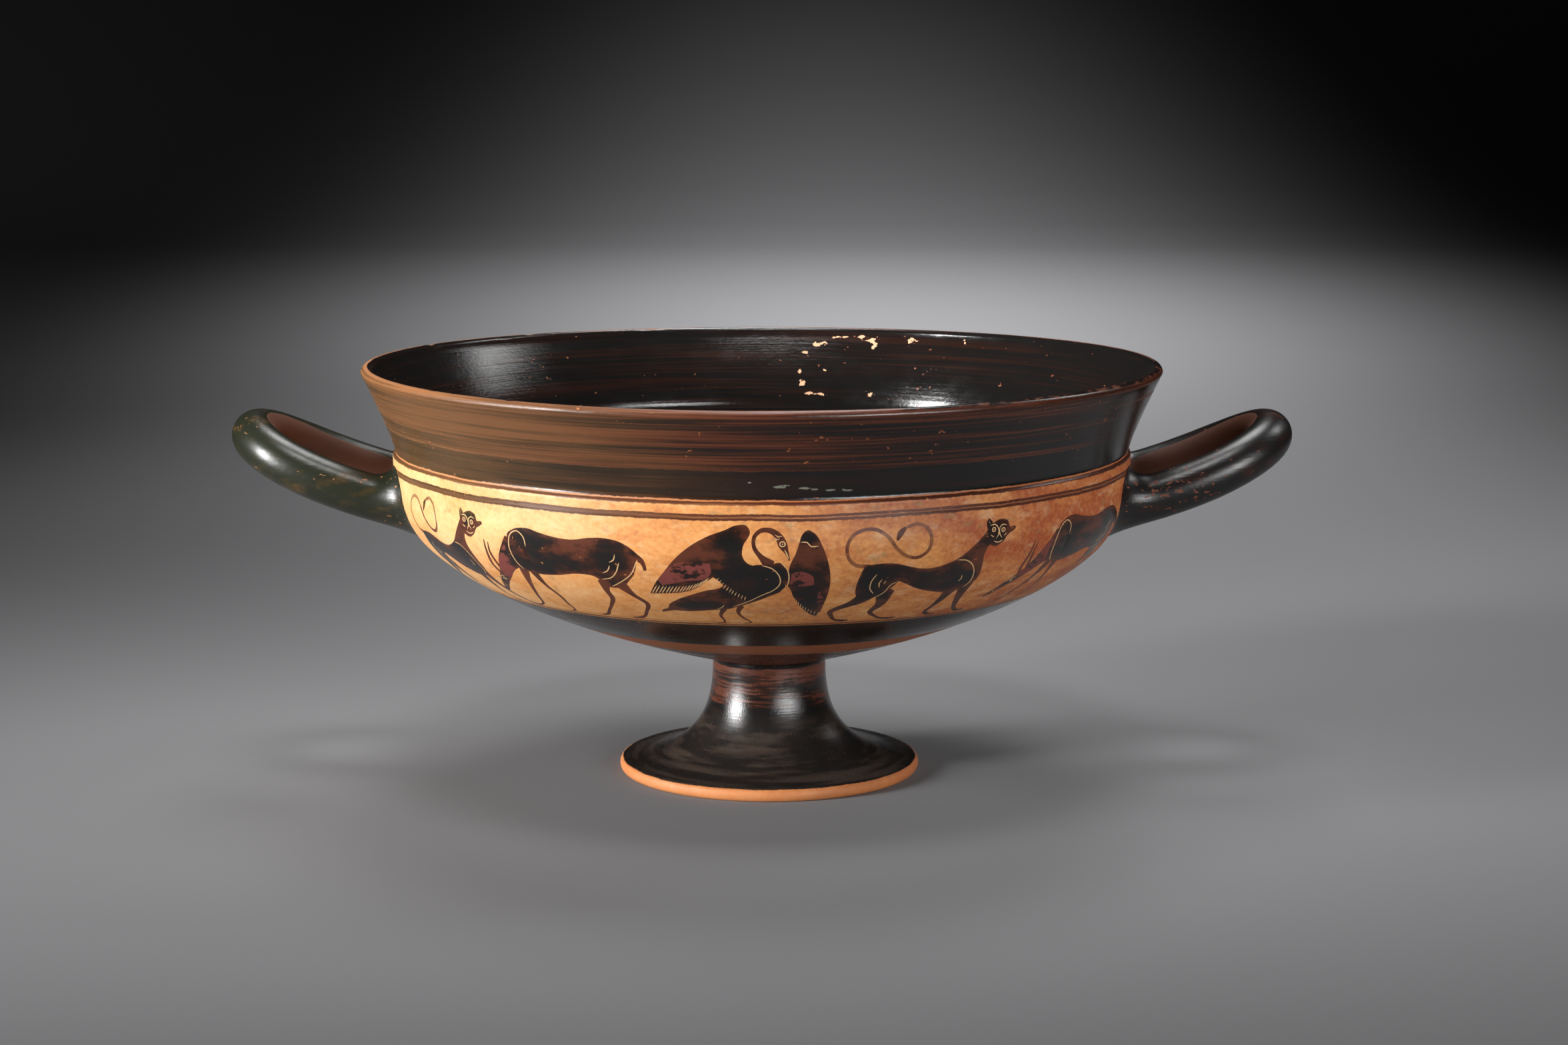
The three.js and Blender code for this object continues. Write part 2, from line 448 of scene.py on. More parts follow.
class Paint(Enum):
    """What the brush or the graver left on a patch, as shares of slip, added red, cut line and thin wash."""

    CLAY = (0.0, 0.0, 0.0, 0.0)
    SLIP = (1.0, 0.0, 0.0, 0.0)
    WASH = (1.0, 0.0, 0.0, 1.0)
    LIMB = (1.0, 0.0, 0.0, 0.55)
    RED = (1.0, 1.0, 0.0, 0.0)
    CUT = (0.0, 0.0, 1.0, 0.0)


@dataclass(frozen=True)
class Patch:
    """One painted or cut patch of the unrolled band, in millimetres along and up it."""

    paint: Paint
    outline: np.ndarray

    def moved(self, shift: float, stretch: float) -> "Patch":
        """The patch stretched along the band, turned to face the other way if negative, and shifted."""
        return Patch(self.paint, self.outline * (stretch, 1) + (shift, 0))

    def squeezed(self, share: float) -> "Patch":
        """The patch with what lies before zero along the band drawn closer to it."""
        along, up = self.outline.T
        return Patch(self.paint, np.stack([np.where(along < 0, along * share, along), up], 1))


CUT_WIDTH = 0.32  # of the graver's line
TICK_WIDTH = 0.3
CUT_POINT = 0.25  # a cut line's width at its two ends, as a share of its own
CUT_CAP, BRUSH_CAP = 0.1, 0.35  # how far a stroke's ends stand out, as shares of its width
CUT_STEP = 1.3  # longest piece of a cut line
BRUSH_STEP = 1.0  # longest piece of a painted outline


def blob(paint: Paint, *points: tuple[float, float]) -> Patch:
    """A filled patch with a smooth outline through given points."""
    return Patch(paint, smooth_path(points, BRUSH_STEP, closed=True))


def stroke(paint: Paint, *points: tuple[float, ...]) -> Patch:
    """A brush or graver stroke.

    Args:
        paint: what it leaves.
        points: places on its middle line, each with the stroke's width there, or without for a cut.

    Returns:
        The stroke's outline as a patch.
    """
    cut = paint is Paint.CUT
    with_width = [(*p, CUT_WIDTH) if len(p) == 2 else p for p in points]
    line = smooth_path(with_width, CUT_STEP if cut else BRUSH_STEP)
    along = np.gradient(line[:, :2], axis=0)
    along /= np.linalg.norm(along, axis=1)[:, None]
    across = np.stack([-along[:, 1], along[:, 0]], 1) * line[:, 2:3] / 2
    if cut:  # a graver's line tapers to a point at both ends
        across[[0, -1]] *= CUT_POINT
    left, right = line[:, :2] + across, line[:, :2] - across
    cap = along[[0, -1]] * line[[0, -1], 2:3] * (CUT_CAP if cut else BRUSH_CAP)
    return Patch(paint, np.vstack([left, line[-1:, :2] + cap[1], right[::-1], line[:1, :2] - cap[0]]))


def ticks(count: int, path: Sequence[tuple[float, float]], reach: tuple[float, float],
          last_reach: tuple[float, float] | None = None) -> list[Patch]:
    """A row of short cut lines, such as the feathers along a wing.

    Args:
        count: number of lines.
        path: the line that their feet stand on.
        reach: from a line's foot to its tip, at the start of the row.
        last_reach: the same at the end of the row.

    Returns:
        One patch for each line.
    """
    line = smooth_path(path, 0.2)
    feet = line[np.linspace(0, len(line) - 1, count).round().astype(int)]
    rows = []
    for share, foot in zip(np.linspace(0, 1, count), feet):
        tip = foot + np.array(reach) * (1 - share) + np.array(last_reach or reach) * share
        rows.append(stroke(Paint.CUT, (*foot, TICK_WIDTH), (*tip, TICK_WIDTH)))
    return rows


def eye(centre: tuple[float, float], radius: float) -> list[Patch]:
    """A cut ring round a cut dot.

    Args:
        centre: middle of the eye.
        radius: of the ring.

    Returns:
        The ring, the slip inside it and the dot.
    """
    turn = np.linspace(0, 2 * math.pi, 11)[:-1]
    ring = np.stack([np.cos(turn), np.sin(turn)], 1)
    dot = Patch(Paint.CUT, np.array(centre) + ring[::2] * TICK_WIDTH * 0.7)
    outer = Patch(Paint.CUT, np.array(centre) + ring * (radius + TICK_WIDTH / 2))
    inner = Patch(Paint.SLIP, np.array(centre) + ring * (radius - TICK_WIDTH / 2))
    return [outer, inner, dot]


@dataclass(frozen=True)
class Pool:
    """A place where the slip lies thicker, or thinner if the amount is negative, with soft edges."""

    along: float
    up: float
    half_along: float
    half_up: float
    amount: float  # counted as millimetres inside a figure

    def moved(self, shift: float, stretch: float) -> "Pool":
        """The pool stretched or turned along the band with its animal, and shifted."""
        return replace(self, along=self.along * stretch + shift, half_along=self.half_along * abs(stretch))

    def at(self, places: np.ndarray) -> np.ndarray:
        """How much the pool adds at each place."""
        away = (places - (self.along, self.up)) / (self.half_along, self.half_up)
        return self.amount * np.exp(-(away**2).sum(1))


class Swan:
    """The swan in the middle of the front, its wings spread and its neck curled back."""

    def body(self) -> list[Patch]:
        """Breast, tail, neck, head and legs.

        Returns:
            The patches.
        """
        slip = Paint.SLIP
        return [
            blob(slip, (5.6, 32), (7.2, 30), (7.8, 27), (7.3, 24), (5.5, 20.8), (2.5, 18.7), (-1, 16.3), (-5, 13.9),
                 (-8, 12.3), (-11, 10.9), (-15, 10.2), (-20, 9.2), (-25, 8.6), (-28.5, 8.8), (-31, 8.2), (-33.4, 7.2),
                 (-32.8, 8.9), (-30.5, 10.2), (-29.5, 12.5), (-26, 15.7), (-21, 18.6), (-16, 21), (-12.5, 22),
                 (-8, 27), (-2, 31.2), (2.5, 31.5)),
            stroke(slip, (2.5, 31.4, 3.6), (0.1, 34.1, 1.6), (-1.6, 37, 1.1), (-1.4, 40, 1.1), (0.5, 41.8, 1.3),
                   (3, 41.7, 1.6), (5.3, 39.8, 2.2), (6.2, 37.5, 2.5), (7.3, 35, 1.1), (7.9, 32.8, 0.4)),
            stroke(Paint.LIMB, (-12.3, 10.8, 2), (-14, 6.5, 1.2), (-13.4, 2, 0.8), (-13.6, 0.7, 0.9),
                   (-16, 0.4, 0.7)),
            stroke(Paint.LIMB, (-6.8, 12.8, 2.2), (-8, 8.5, 1.2), (-6.5, 4.5, 0.9), (-4.6, 1.8, 0.7), (-4.4, 0.9, 0.8),
                   (-6.8, 0.5, 0.7)),
        ]

    def wings(self) -> list[Patch]:
        """Both spread wings with the red of their coverts.

        Returns:
            The patches.
        """
        slip, red = Paint.SLIP, Paint.RED
        return [
            blob(slip, (-2.6, 41.6), (-3.5, 43.2), (-6, 43.3), (-9.5, 41.8), (-14, 40), (-19, 37), (-23.5, 33),
                 (-27.5, 28), (-30.5, 24), (-33.8, 18.3), (-29, 18.7), (-23, 19.8), (-19.5, 21.5), (-16.5, 24),
                 (-13.5, 26.7), (-11.8, 25), (-10.5, 21.8), (-8, 18.5), (-5, 16), (0, 20), (0.3, 31.3), (-1, 31),
                 (-3.5, 31.8), (-4.8, 34), (-4.6, 37)),
            blob(slip, (8, 31), (9.5, 34.5), (10.8, 38.5), (11.5, 40.5), (13, 41.8), (15, 40.7), (17, 37),
                 (18.6, 32), (19.6, 26), (19.5, 20), (18.7, 13), (18, 8), (17.1, 5.8), (15.3, 7), (13, 10),
                 (10.8, 14), (9.2, 18), (8.3, 21.5), (7.3, 24), (7.6, 28)),
            blob(red, (-23.5, 31.3), (-18, 31.8), (-14, 31.6), (-14, 28), (-15.5, 26.3), (-22, 24.7), (-28.8, 22.6),
                 (-29.8, 25), (-27, 28.6)),
            blob(red, (8.5, 28.5), (11.5, 28.8), (14.5, 27), (15, 23.5), (11, 23), (8.2, 24.2)),
            blob(red, (16.8, 20.5), (18.3, 17), (18.1, 11.5), (16.6, 14.5)),
        ]

    def cuts(self) -> list[Patch]:
        """The graver's lines: breast band, feathers and head.

        Returns:
            The patches.
        """
        cut = Paint.CUT
        return [
            stroke(cut, (0.3, 31.2), (3.2, 30), (5.2, 27), (5.2, 24), (3.3, 21.3), (0, 19), (-4, 15.8), (-9.3, 12.3)),
            stroke(cut, (5.6, 32), (7.2, 30), (7.8, 27), (7.3, 23.5), (5.6, 20.8)),
            *ticks(18, ((-33.1, 18.5), (-29, 18.8), (-23, 20), (-19.5, 21.7), (-16.2, 24.2)), (2.4, 3.9), (1.5, 2.3)),
            *ticks(11, ((-13.2, 24.8), (-11, 21.8), (-8, 18.4), (-5.4, 16.3)), (1.3, 1.7), (0.5, 2)),
            *ticks(15, ((7.2, 21.6), (8.9, 17.2), (10.8, 13.2), (13, 10), (15.3, 7.6), (17.5, 6.4)),
                   (-0.4, 2.2), (0.4, 2.2)),
            stroke(cut, (11, 38.3), (12.8, 38.2), (13.8, 37), (16, 37.1)),
            stroke(cut, (-14.5, 10.7), (-12.8, 11.9), (-11.9, 13.4)),
            stroke(cut, (4.1, 40.6), (5, 39.9), (6.1, 40.1)),
            stroke(cut, (3.7, 39.9), (4.7, 39.1), (5.4, 39.4)),
            stroke(cut, (6.6, 36.2), (7.3, 34.6), (7.7, 33.2)),
            *eye((6.1, 37.8), 0.75),
        ]

    def patches(self) -> list[Patch]:
        """Every patch of the swan, in the order of painting."""
        return self.body() + self.wings() + self.cuts()

    def pools(self) -> list[Pool]:
        """Where the slip lies thick: the breast and wing roots. It is thin on the wing tops and the tail.

        Returns:
            The pools.
        """
        return [Pool(2, 25, 5, 6, 4), Pool(-7, 37, 3, 7, 3), Pool(-9, 26, 5, 4, 1.5), Pool(-18, 35.5, 6, 3.5, -2.6),
                Pool(-20, 19.5, 6, 2, -2.5), Pool(-20, 12.5, 6, 3, 2), Pool(-29, 11, 3, 3, -2.5),
                Pool(14, 34, 5, 4, -2.8), Pool(14, 17, 4, 7, 3), Pool(13, 40, 3, 2, 2)]


@dataclass(frozen=True)
class Goat:
    """A grazing goat whose head hangs to the left. Its chest is at zero along the band."""

    plain: bool = False

    def body(self) -> list[Patch]:
        """Trunk, tail, legs, neck, head, horns and ear.

        Returns:
            The patches.
        """
        slip, limb = Paint.SLIP, Paint.LIMB
        return [
            blob(slip, (-0.8, 34.5), (-0.3, 36.4), (2, 37.9), (7, 38.8), (12, 37.8), (17, 37), (22, 36.8), (28, 37.8),
                 (33, 38), (37, 37.2), (40, 35.5), (41.6, 34), (43.4, 32), (43.7, 28.3), (42.7, 28.2), (42.3, 30.6),
                 (41.3, 31.4), (39.5, 26.5), (37.5, 24), (34, 20.5), (30, 20), (26.5, 24.4), (21, 24.9), (14, 23.5),
                 (7, 22.8), (3, 23.2), (-1, 24.6), (-2.5, 29)),
            stroke(limb, (4.5, 23.2, 3), (5.4, 17, 1.5), (6.9, 11.6, 1.3), (6.2, 6, 1), (6, 3.4, 0.9),
                   (5.2, 1.4, 1), (3, 0.8, 0.8)),
            stroke(limb, (0.8, 23.6, 3.4), (-2, 15.5, 1.6), (-5, 9, 1.2), (-8.5, 3.2, 1), (-13, 0.7, 0.9)),
            stroke(limb, (28.8, 22.5, 4), (28, 18, 2), (28.2, 14.5, 1.8), (25.5, 9.5, 1.2), (22, 4.9, 1.1),
                   (19.6, 1.9, 1.3), (17.2, 1.1, 1)),
            stroke(limb, (34, 21.5, 4.4), (36.2, 17, 2.1), (39.2, 12, 1.7), (37, 7, 1.2), (34.5, 3, 1.2),
                   (31.5, 1.2, 1.5), (29.5, 0.9, 0.9)),
            stroke(slip, (2, 31, 11.5), (-4.5, 26, 6.6), (-10, 19.8, 4), (-13, 17, 3.4), (-17, 12.5, 2.2),
                   (-19.5, 9.8, 1.7)),
            stroke(limb, (-11.5, 19.5, 1.4), (-12.5, 24, 1.2), (-11.8, 28, 1), (-10.9, 33, 0.5)),
            stroke(limb, (-9.5, 20.5, 1.3), (-10, 25.5, 1.2), (-10.2, 29, 0.9), (-9.4, 32.5, 0.4)),
            stroke(slip, (-8.6, 21.5, 1.2), (-7.6, 24.2, 1.6), (-7.2, 26.4, 0.5)),
        ]

    def details(self) -> list[Patch]:
        """The red neck and the graver's lines.

        Returns:
            The patches.
        """
        cut = Paint.CUT
        return [
            blob(Paint.RED, (-2.3, 33), (-6, 29), (-9.8, 23.5), (-11.8, 19.5), (-8.4, 18.9), (-5, 22.2),
                 (-2.2, 24.5), (-2.6, 29)),
            stroke(cut, (5.8, 33), (5.6, 36), (3.5, 37.6), (1, 36.5), (-0.5, 33.5), (-0.8, 29), (0.2, 25.3), (1.2, 24)),
            stroke(cut, (28.5, 23.5), (31.5, 24.3), (34, 26.8), (35.8, 30.5)),
            stroke(cut, (30.8, 20.5), (34.5, 23), (38.5, 26.5), (41.6, 32)),
            stroke(cut, (32.7, 29.3), (31.5, 27.2), (29.6, 26.2)),
            stroke(cut, (35, 33.2), (34.4, 31.4), (32.8, 30.4)),
            stroke(cut, (-11.3, 18.6), (-13.6, 18.6), (-14.9, 16.6)),
            stroke(cut, (-17.8, 13), (-16.8, 11.8)),
            *eye((-12.8, 17.3), 0.55),
        ]

    def patches(self) -> list[Patch]:
        """Every patch of the goat, in the order of painting."""
        return self.body() + ([] if self.plain else self.details())

    def pools(self) -> list[Pool]:
        """Where the slip lies thick or thin: dark along the trunk, thin on the back and the rump."""
        return [Pool(9, 30, 6, 4, 2), Pool(22, 33, 7, 3, -1.5), Pool(33, 33, 4, 4, 2.5), Pool(38, 27, 4, 5, -1.5)]


@dataclass(frozen=True)
class Panther:
    """A panther that walks to the right and turns its face to the front. Its chest is at zero."""

    plain: bool = False
    length: float = 1.0  # of the trunk, as a share of the long panther's

    def body(self) -> list[Patch]:
        """Tail, trunk, legs and head.

        Returns:
            The patches.
        """
        slip, wash = Paint.SLIP, Paint.WASH
        return [
            stroke(wash, (-37, 29.8, 1.6), (-41.5, 30.8, 1.2), (-43.3, 33.2, 1), (-43.7, 36.5, 1), (-42.3, 39.5, 1),
                   (-39, 41.3, 1), (-35, 41, 1.1), (-32, 38.8, 1.1), (-29.5, 35.3, 1.1), (-26.5, 32.8, 1.1),
                   (-23, 32, 1.1), (-20.2, 33.8, 1.1), (-19.2, 37, 1.1), (-20.3, 40.5, 1.1), (-23.5, 42.2, 1),
                   (-26.5, 41.5, 1)),
            stroke(slip, (-29.4, 37.9, 0.8), (-28.5, 39.8, 1.8), (-27, 41.3, 0.9)),
            blob(slip, (-38, 30), (-34.5, 30.6), (-29.5, 30.4), (-25.5, 29.2), (-21.5, 28), (-17.5, 27.8),
                 (-13.5, 28.8), (-9.5, 30.6), (-6, 33.5), (-3, 36.3), (-1, 38.4), (2.5, 36), (0.3, 34), (-0.9, 31.5),
                 (-0.7, 28), (0, 24), (-0.1, 20.5), (-1.7, 18.2), (-4.5, 16.6), (-9.5, 15.8), (-14.5, 17),
                 (-20.5, 19.4), (-24.5, 21.9), (-27.2, 23.5), (-29.3, 20), (-33, 16), (-38, 15.5), (-39.5, 18),
                 (-40, 22), (-39.5, 26)),
            stroke(slip, (-35.5, 20, 8), (-36.8, 16.4, 5.6), (-40, 13.1, 3.3), (-44, 10.4, 2.4), (-45.9, 8.4, 2.1),
                   (-45.2, 5.5, 1.5), (-43.3, 2.2, 1.4), (-41, 1.3, 1.7), (-38.6, 1.2, 1.1)),
            stroke(slip, (-30.5, 19, 6), (-30.3, 12, 3.4), (-32.1, 6.5, 1.8), (-30, 4, 1.3), (-26.4, 1.4, 1.3),
                   (-23.5, 0.9, 1.6), (-21, 1.1, 1)),
            stroke(slip, (-7.5, 18, 5), (-8.8, 11, 2.7), (-10.1, 6, 1.8), (-10.5, 3.6, 1.5), (-8, 1.3, 1.4),
                   (-5.2, 0.9, 0.9)),
            stroke(slip, (-3, 19, 5), (-2, 12, 2.9), (-0.2, 6.5, 2), (2, 3, 1.5), (4.8, 1.1, 1.4), (7.5, 1.4, 1)),
            blob(slip, (-1.1, 38.5), (-1.3, 40.8), (-0.5, 42), (0.5, 41), (1, 40.3), (3.5, 41.3), (6.3, 40.5),
                 (7, 38.6), (9, 38.8), (9.3, 38), (8, 37.2), (6.7, 36.6), (5, 34.5), (2, 33.1), (0, 34.2),
                 (-0.9, 36.5)),
        ]

    def details(self) -> list[Patch]:
        """The graver's lines on the trunk and the face.

        Returns:
            The patches.
        """
        cut = Paint.CUT
        return [
            stroke(cut, (-10, 29.9), (-6.5, 29.3), (-3.5, 26.5), (-2.1, 22.5), (-2.1, 19.5), (-3.5, 17.5)),
            stroke(cut, (-34.5, 26.8), (-35.7, 24), (-35.5, 20.5), (-34, 18.2)),
            stroke(cut, (-32.5, 24.7), (-33.2, 23), (-32.7, 21)),
            stroke(cut, (-31.3, 24), (-31.7, 22.5)),
            stroke(cut, (-27.5, 23.3), (-29.2, 22.2), (-30.7, 18.5), (-34.5, 15)),
            stroke(cut, (-6.5, 23.6), (-6.1, 22), (-6.7, 20.8)),
            *eye((1.2, 38.4), 0.62),
            *eye((4.6, 38.0), 0.62),
            stroke(cut, (0, 39.6), (1.5, 39.9), (2.7, 38.8), (2.9, 36.6), (2.2, 35.6)),
            stroke(cut, (5.9, 39.2), (4.5, 39.6), (3.3, 38.8), (3.5, 36.6), (4.3, 35.6)),
            stroke(cut, (1.4, 34.9), (3.1, 34.3), (4.7, 34.9)),
            stroke(cut, (0.2, 36.8), (1.4, 36.1)),
            stroke(cut, (6, 37), (4.9, 36.2)),
            stroke(cut, (-0.5, 41), (0, 40)),
            stroke(cut, (7.3, 38.2), (8.4, 38.1)),
        ]

    def patches(self) -> list[Patch]:
        """Every patch of the panther, in the order of painting."""
        whole = self.body() + ([] if self.plain else self.details())
        return [patch.squeezed(self.length) for patch in whole]

    def pools(self) -> list[Pool]:
        """Where the slip lies thick: the haunch and the flank. It is thin on the chest and the neck."""
        return [Pool(-35 * self.length, 25, 4, 6, 3), Pool(-18 * self.length, 24, 8, 3, 2), Pool(-3, 30, 3, 6, -2.2),
                Pool(-1, 22, 2, 5, -1.5), Pool(-8 * self.length, 22, 4, 4, 1.5)]


@dataclass
class Blank:
    """The cup's points and faces as they are collected, before the wheel turns them."""

    place: list[np.ndarray] = field(default_factory=list)
    wheel: list[np.ndarray] = field(default_factory=list)
    read: dict[str, list[np.ndarray]] = field(
        default_factory=lambda: {name: [] for name in ("along", "depth", "bare", "thrown")})
    faces: list[tuple[int, ...]] = field(default_factory=list)
    paints: list[tuple[float, ...]] = field(default_factory=list)
    count: int = 0

    def add_points(self, place: np.ndarray, along: np.ndarray, wheel: np.ndarray, depth: np.ndarray | float = 0.0,
                   bare: np.ndarray | float = -9.0, thrown: float = 1.0) -> np.ndarray:
        """Adds points with what the finish reads at them.

        Args:
            place: where they are.
            along: distance along the section from the band's ground line.
            wheel: place on the drum that brush marks follow.
            depth: how far inside a painted figure they are.
            bare: how far inside a handle's unpainted face they are, negative outside it.
            thrown: one for the turned body, nought for the pulled handles.

        Returns:
            The new points' numbers.
        """
        numbers = np.arange(self.count, self.count + len(place))
        self.count += len(place)
        self.place.append(place)
        self.wheel.append(wheel)
        for parts, value in zip(self.read.values(), (along, depth, bare, thrown)):
            parts.append(np.broadcast_to(value, len(place)))
        return numbers

    def add_strip(self, first: np.ndarray, second: np.ndarray, paint: Paint) -> None:
        """Joins two closed rings of points, or a ring and a pole, with faces.

        Args:
            first: the numbers of one ring's points.
            second: those of the other ring.
            paint: what lies on the faces.
        """
        size = max(len(first), len(second))
        for k in range(size):
            n = (k + 1) % size
            if len(first) == 1:
                face = (first[0], second[n], second[k])
            elif len(second) == 1:
                face = (first[k], first[n], second[0])
            else:
                face = (first[k], first[n], second[n], second[k])
            self.faces.append(tuple(int(i) for i in face))
            self.paints.append(paint.value)

    def to_object(self, name: str) -> bpy.types.Object:
        """Makes the mesh object with its attributes.

        Args:
            name: the object's name.

        Returns:
            The linked object.
        """
        place = np.vstack(self.place)
        mesh = bpy.data.meshes.new(name)
        mesh.from_pydata((place * MM).tolist(), [], self.faces)
        values = {
            "radius": np.hypot(place[:, 0], place[:, 1]) * MM,
            "turn": np.arctan2(place[:, 0], -place[:, 1]),
            "height": place[:, 2] * MM,
            **{name: np.concatenate(parts) for name, parts in self.read.items()},
        }
        for key, numbers in values.items():
            mesh.attributes.new(key, "FLOAT", "POINT").data.foreach_set("value", numbers.astype(np.float32))
        wheel = np.vstack(self.wheel).astype(np.float32)
        mesh.attributes.new("wheel", "FLOAT_VECTOR", "POINT").data.foreach_set("vector", wheel.ravel())
        corners = np.repeat(np.array(self.paints, np.float32), [len(face) for face in self.faces], axis=0)
        mesh.attributes.new("paint", "FLOAT_COLOR", "CORNER").data.foreach_set("color", corners.ravel())
        mesh.shade_smooth()
        blank = bpy.data.objects.new(name, mesh)
        bpy.context.scene.collection.objects.link(blank)
        return blank


@dataclass
class Wall:
    """The turned body: foot, bowl, lip and inside, round the painted band."""

    section: TurnedSection
    columns: int = 288
    rings: dict[str, int] = field(default_factory=lambda: {
        "hollow": 14, "rest": 2, "foot_edge": 8, "foot": 30, "lip": 14, "rim": 10, "lip_inside": 14, "inside": 36,
    })
    rings_under_band: int = 22
    rings_over_band: int = 6

    def turns(self) -> np.ndarray:
        """The columns' angles from the front, towards +X."""
        return -math.pi + 2 * math.pi * np.arange(self.columns) / self.columns

    def surface(self, u: np.ndarray, along: np.ndarray) -> np.ndarray:
        """Places on the wall for places on the unrolled drum.

        Args:
            u: places round the drum, in millimetres from the front.
            along: places along the section.

        Returns:
            The places, one row each.
        """
        radius, height = self.section.at(along)
        turn = u / DRUM
        return np.stack([radius * np.sin(turn), -radius * np.cos(turn), height], 1)

    def on_drum(self, u: np.ndarray, along: np.ndarray) -> np.ndarray:
        """Places on the upright drum that the brush marks follow."""
        turn = u / DRUM
        return np.stack([DRUM * np.sin(turn), -DRUM * np.cos(turn), along + 0 * turn], 1)

    def ring(self, blank: Blank, along: float) -> np.ndarray:
        """Adds one ring of the wall, or a single point on the axis.

        Args:
            blank: what collects the points.
            along: where the ring lies along the section.

        Returns:
            The numbers of its points.
        """
        on_axis = self.section.at(along)[0] < 1e-6
        u = self.turns()[:1 if on_axis else None] * DRUM
        level = np.full(len(u), along)
        return blank.add_points(self.surface(u, level), level, self.on_drum(u, level))

    def build(self, blank: Blank, band_low: np.ndarray, band_high: np.ndarray, low: float, high: float) -> None:
        """Adds the wall below and above the painted band.

        Args:
            blank: what collects the points.
            band_low: the band's lowest ring of points.
            band_high: the band's highest ring of points.
            low: where the band starts along the section.
            high: where it ends.
        """
        def levels(stretch: str) -> list[float]:
            """Where the rings of a stretch lie along the section."""
            start, end = self.section.span(stretch)
            return list(np.linspace(start, end, self.rings[stretch] + 1)[1:])

        start, _ = self.section.span("hollow")
        bowl_start, bowl_end = self.section.span("bowl")
        below = [start] + [z for name in ("hollow", "rest", "foot_edge", "foot") for z in levels(name)]
        below += list(np.linspace(bowl_start, low, self.rings_under_band + 1)[1:-1])
        above = list(np.linspace(high, bowl_end, self.rings_over_band + 1)[1:])
        above += [z for name in ("lip", "rim", "lip_inside", "inside") for z in levels(name)]
        lower = [self.ring(blank, z) for z in below] + [band_low]
        upper = [band_high] + [self.ring(blank, z) for z in above]
        for rings in (lower, upper):
            for first, second in zip(rings, rings[1:]):
                blank.add_strip(first, second, Paint.CLAY)


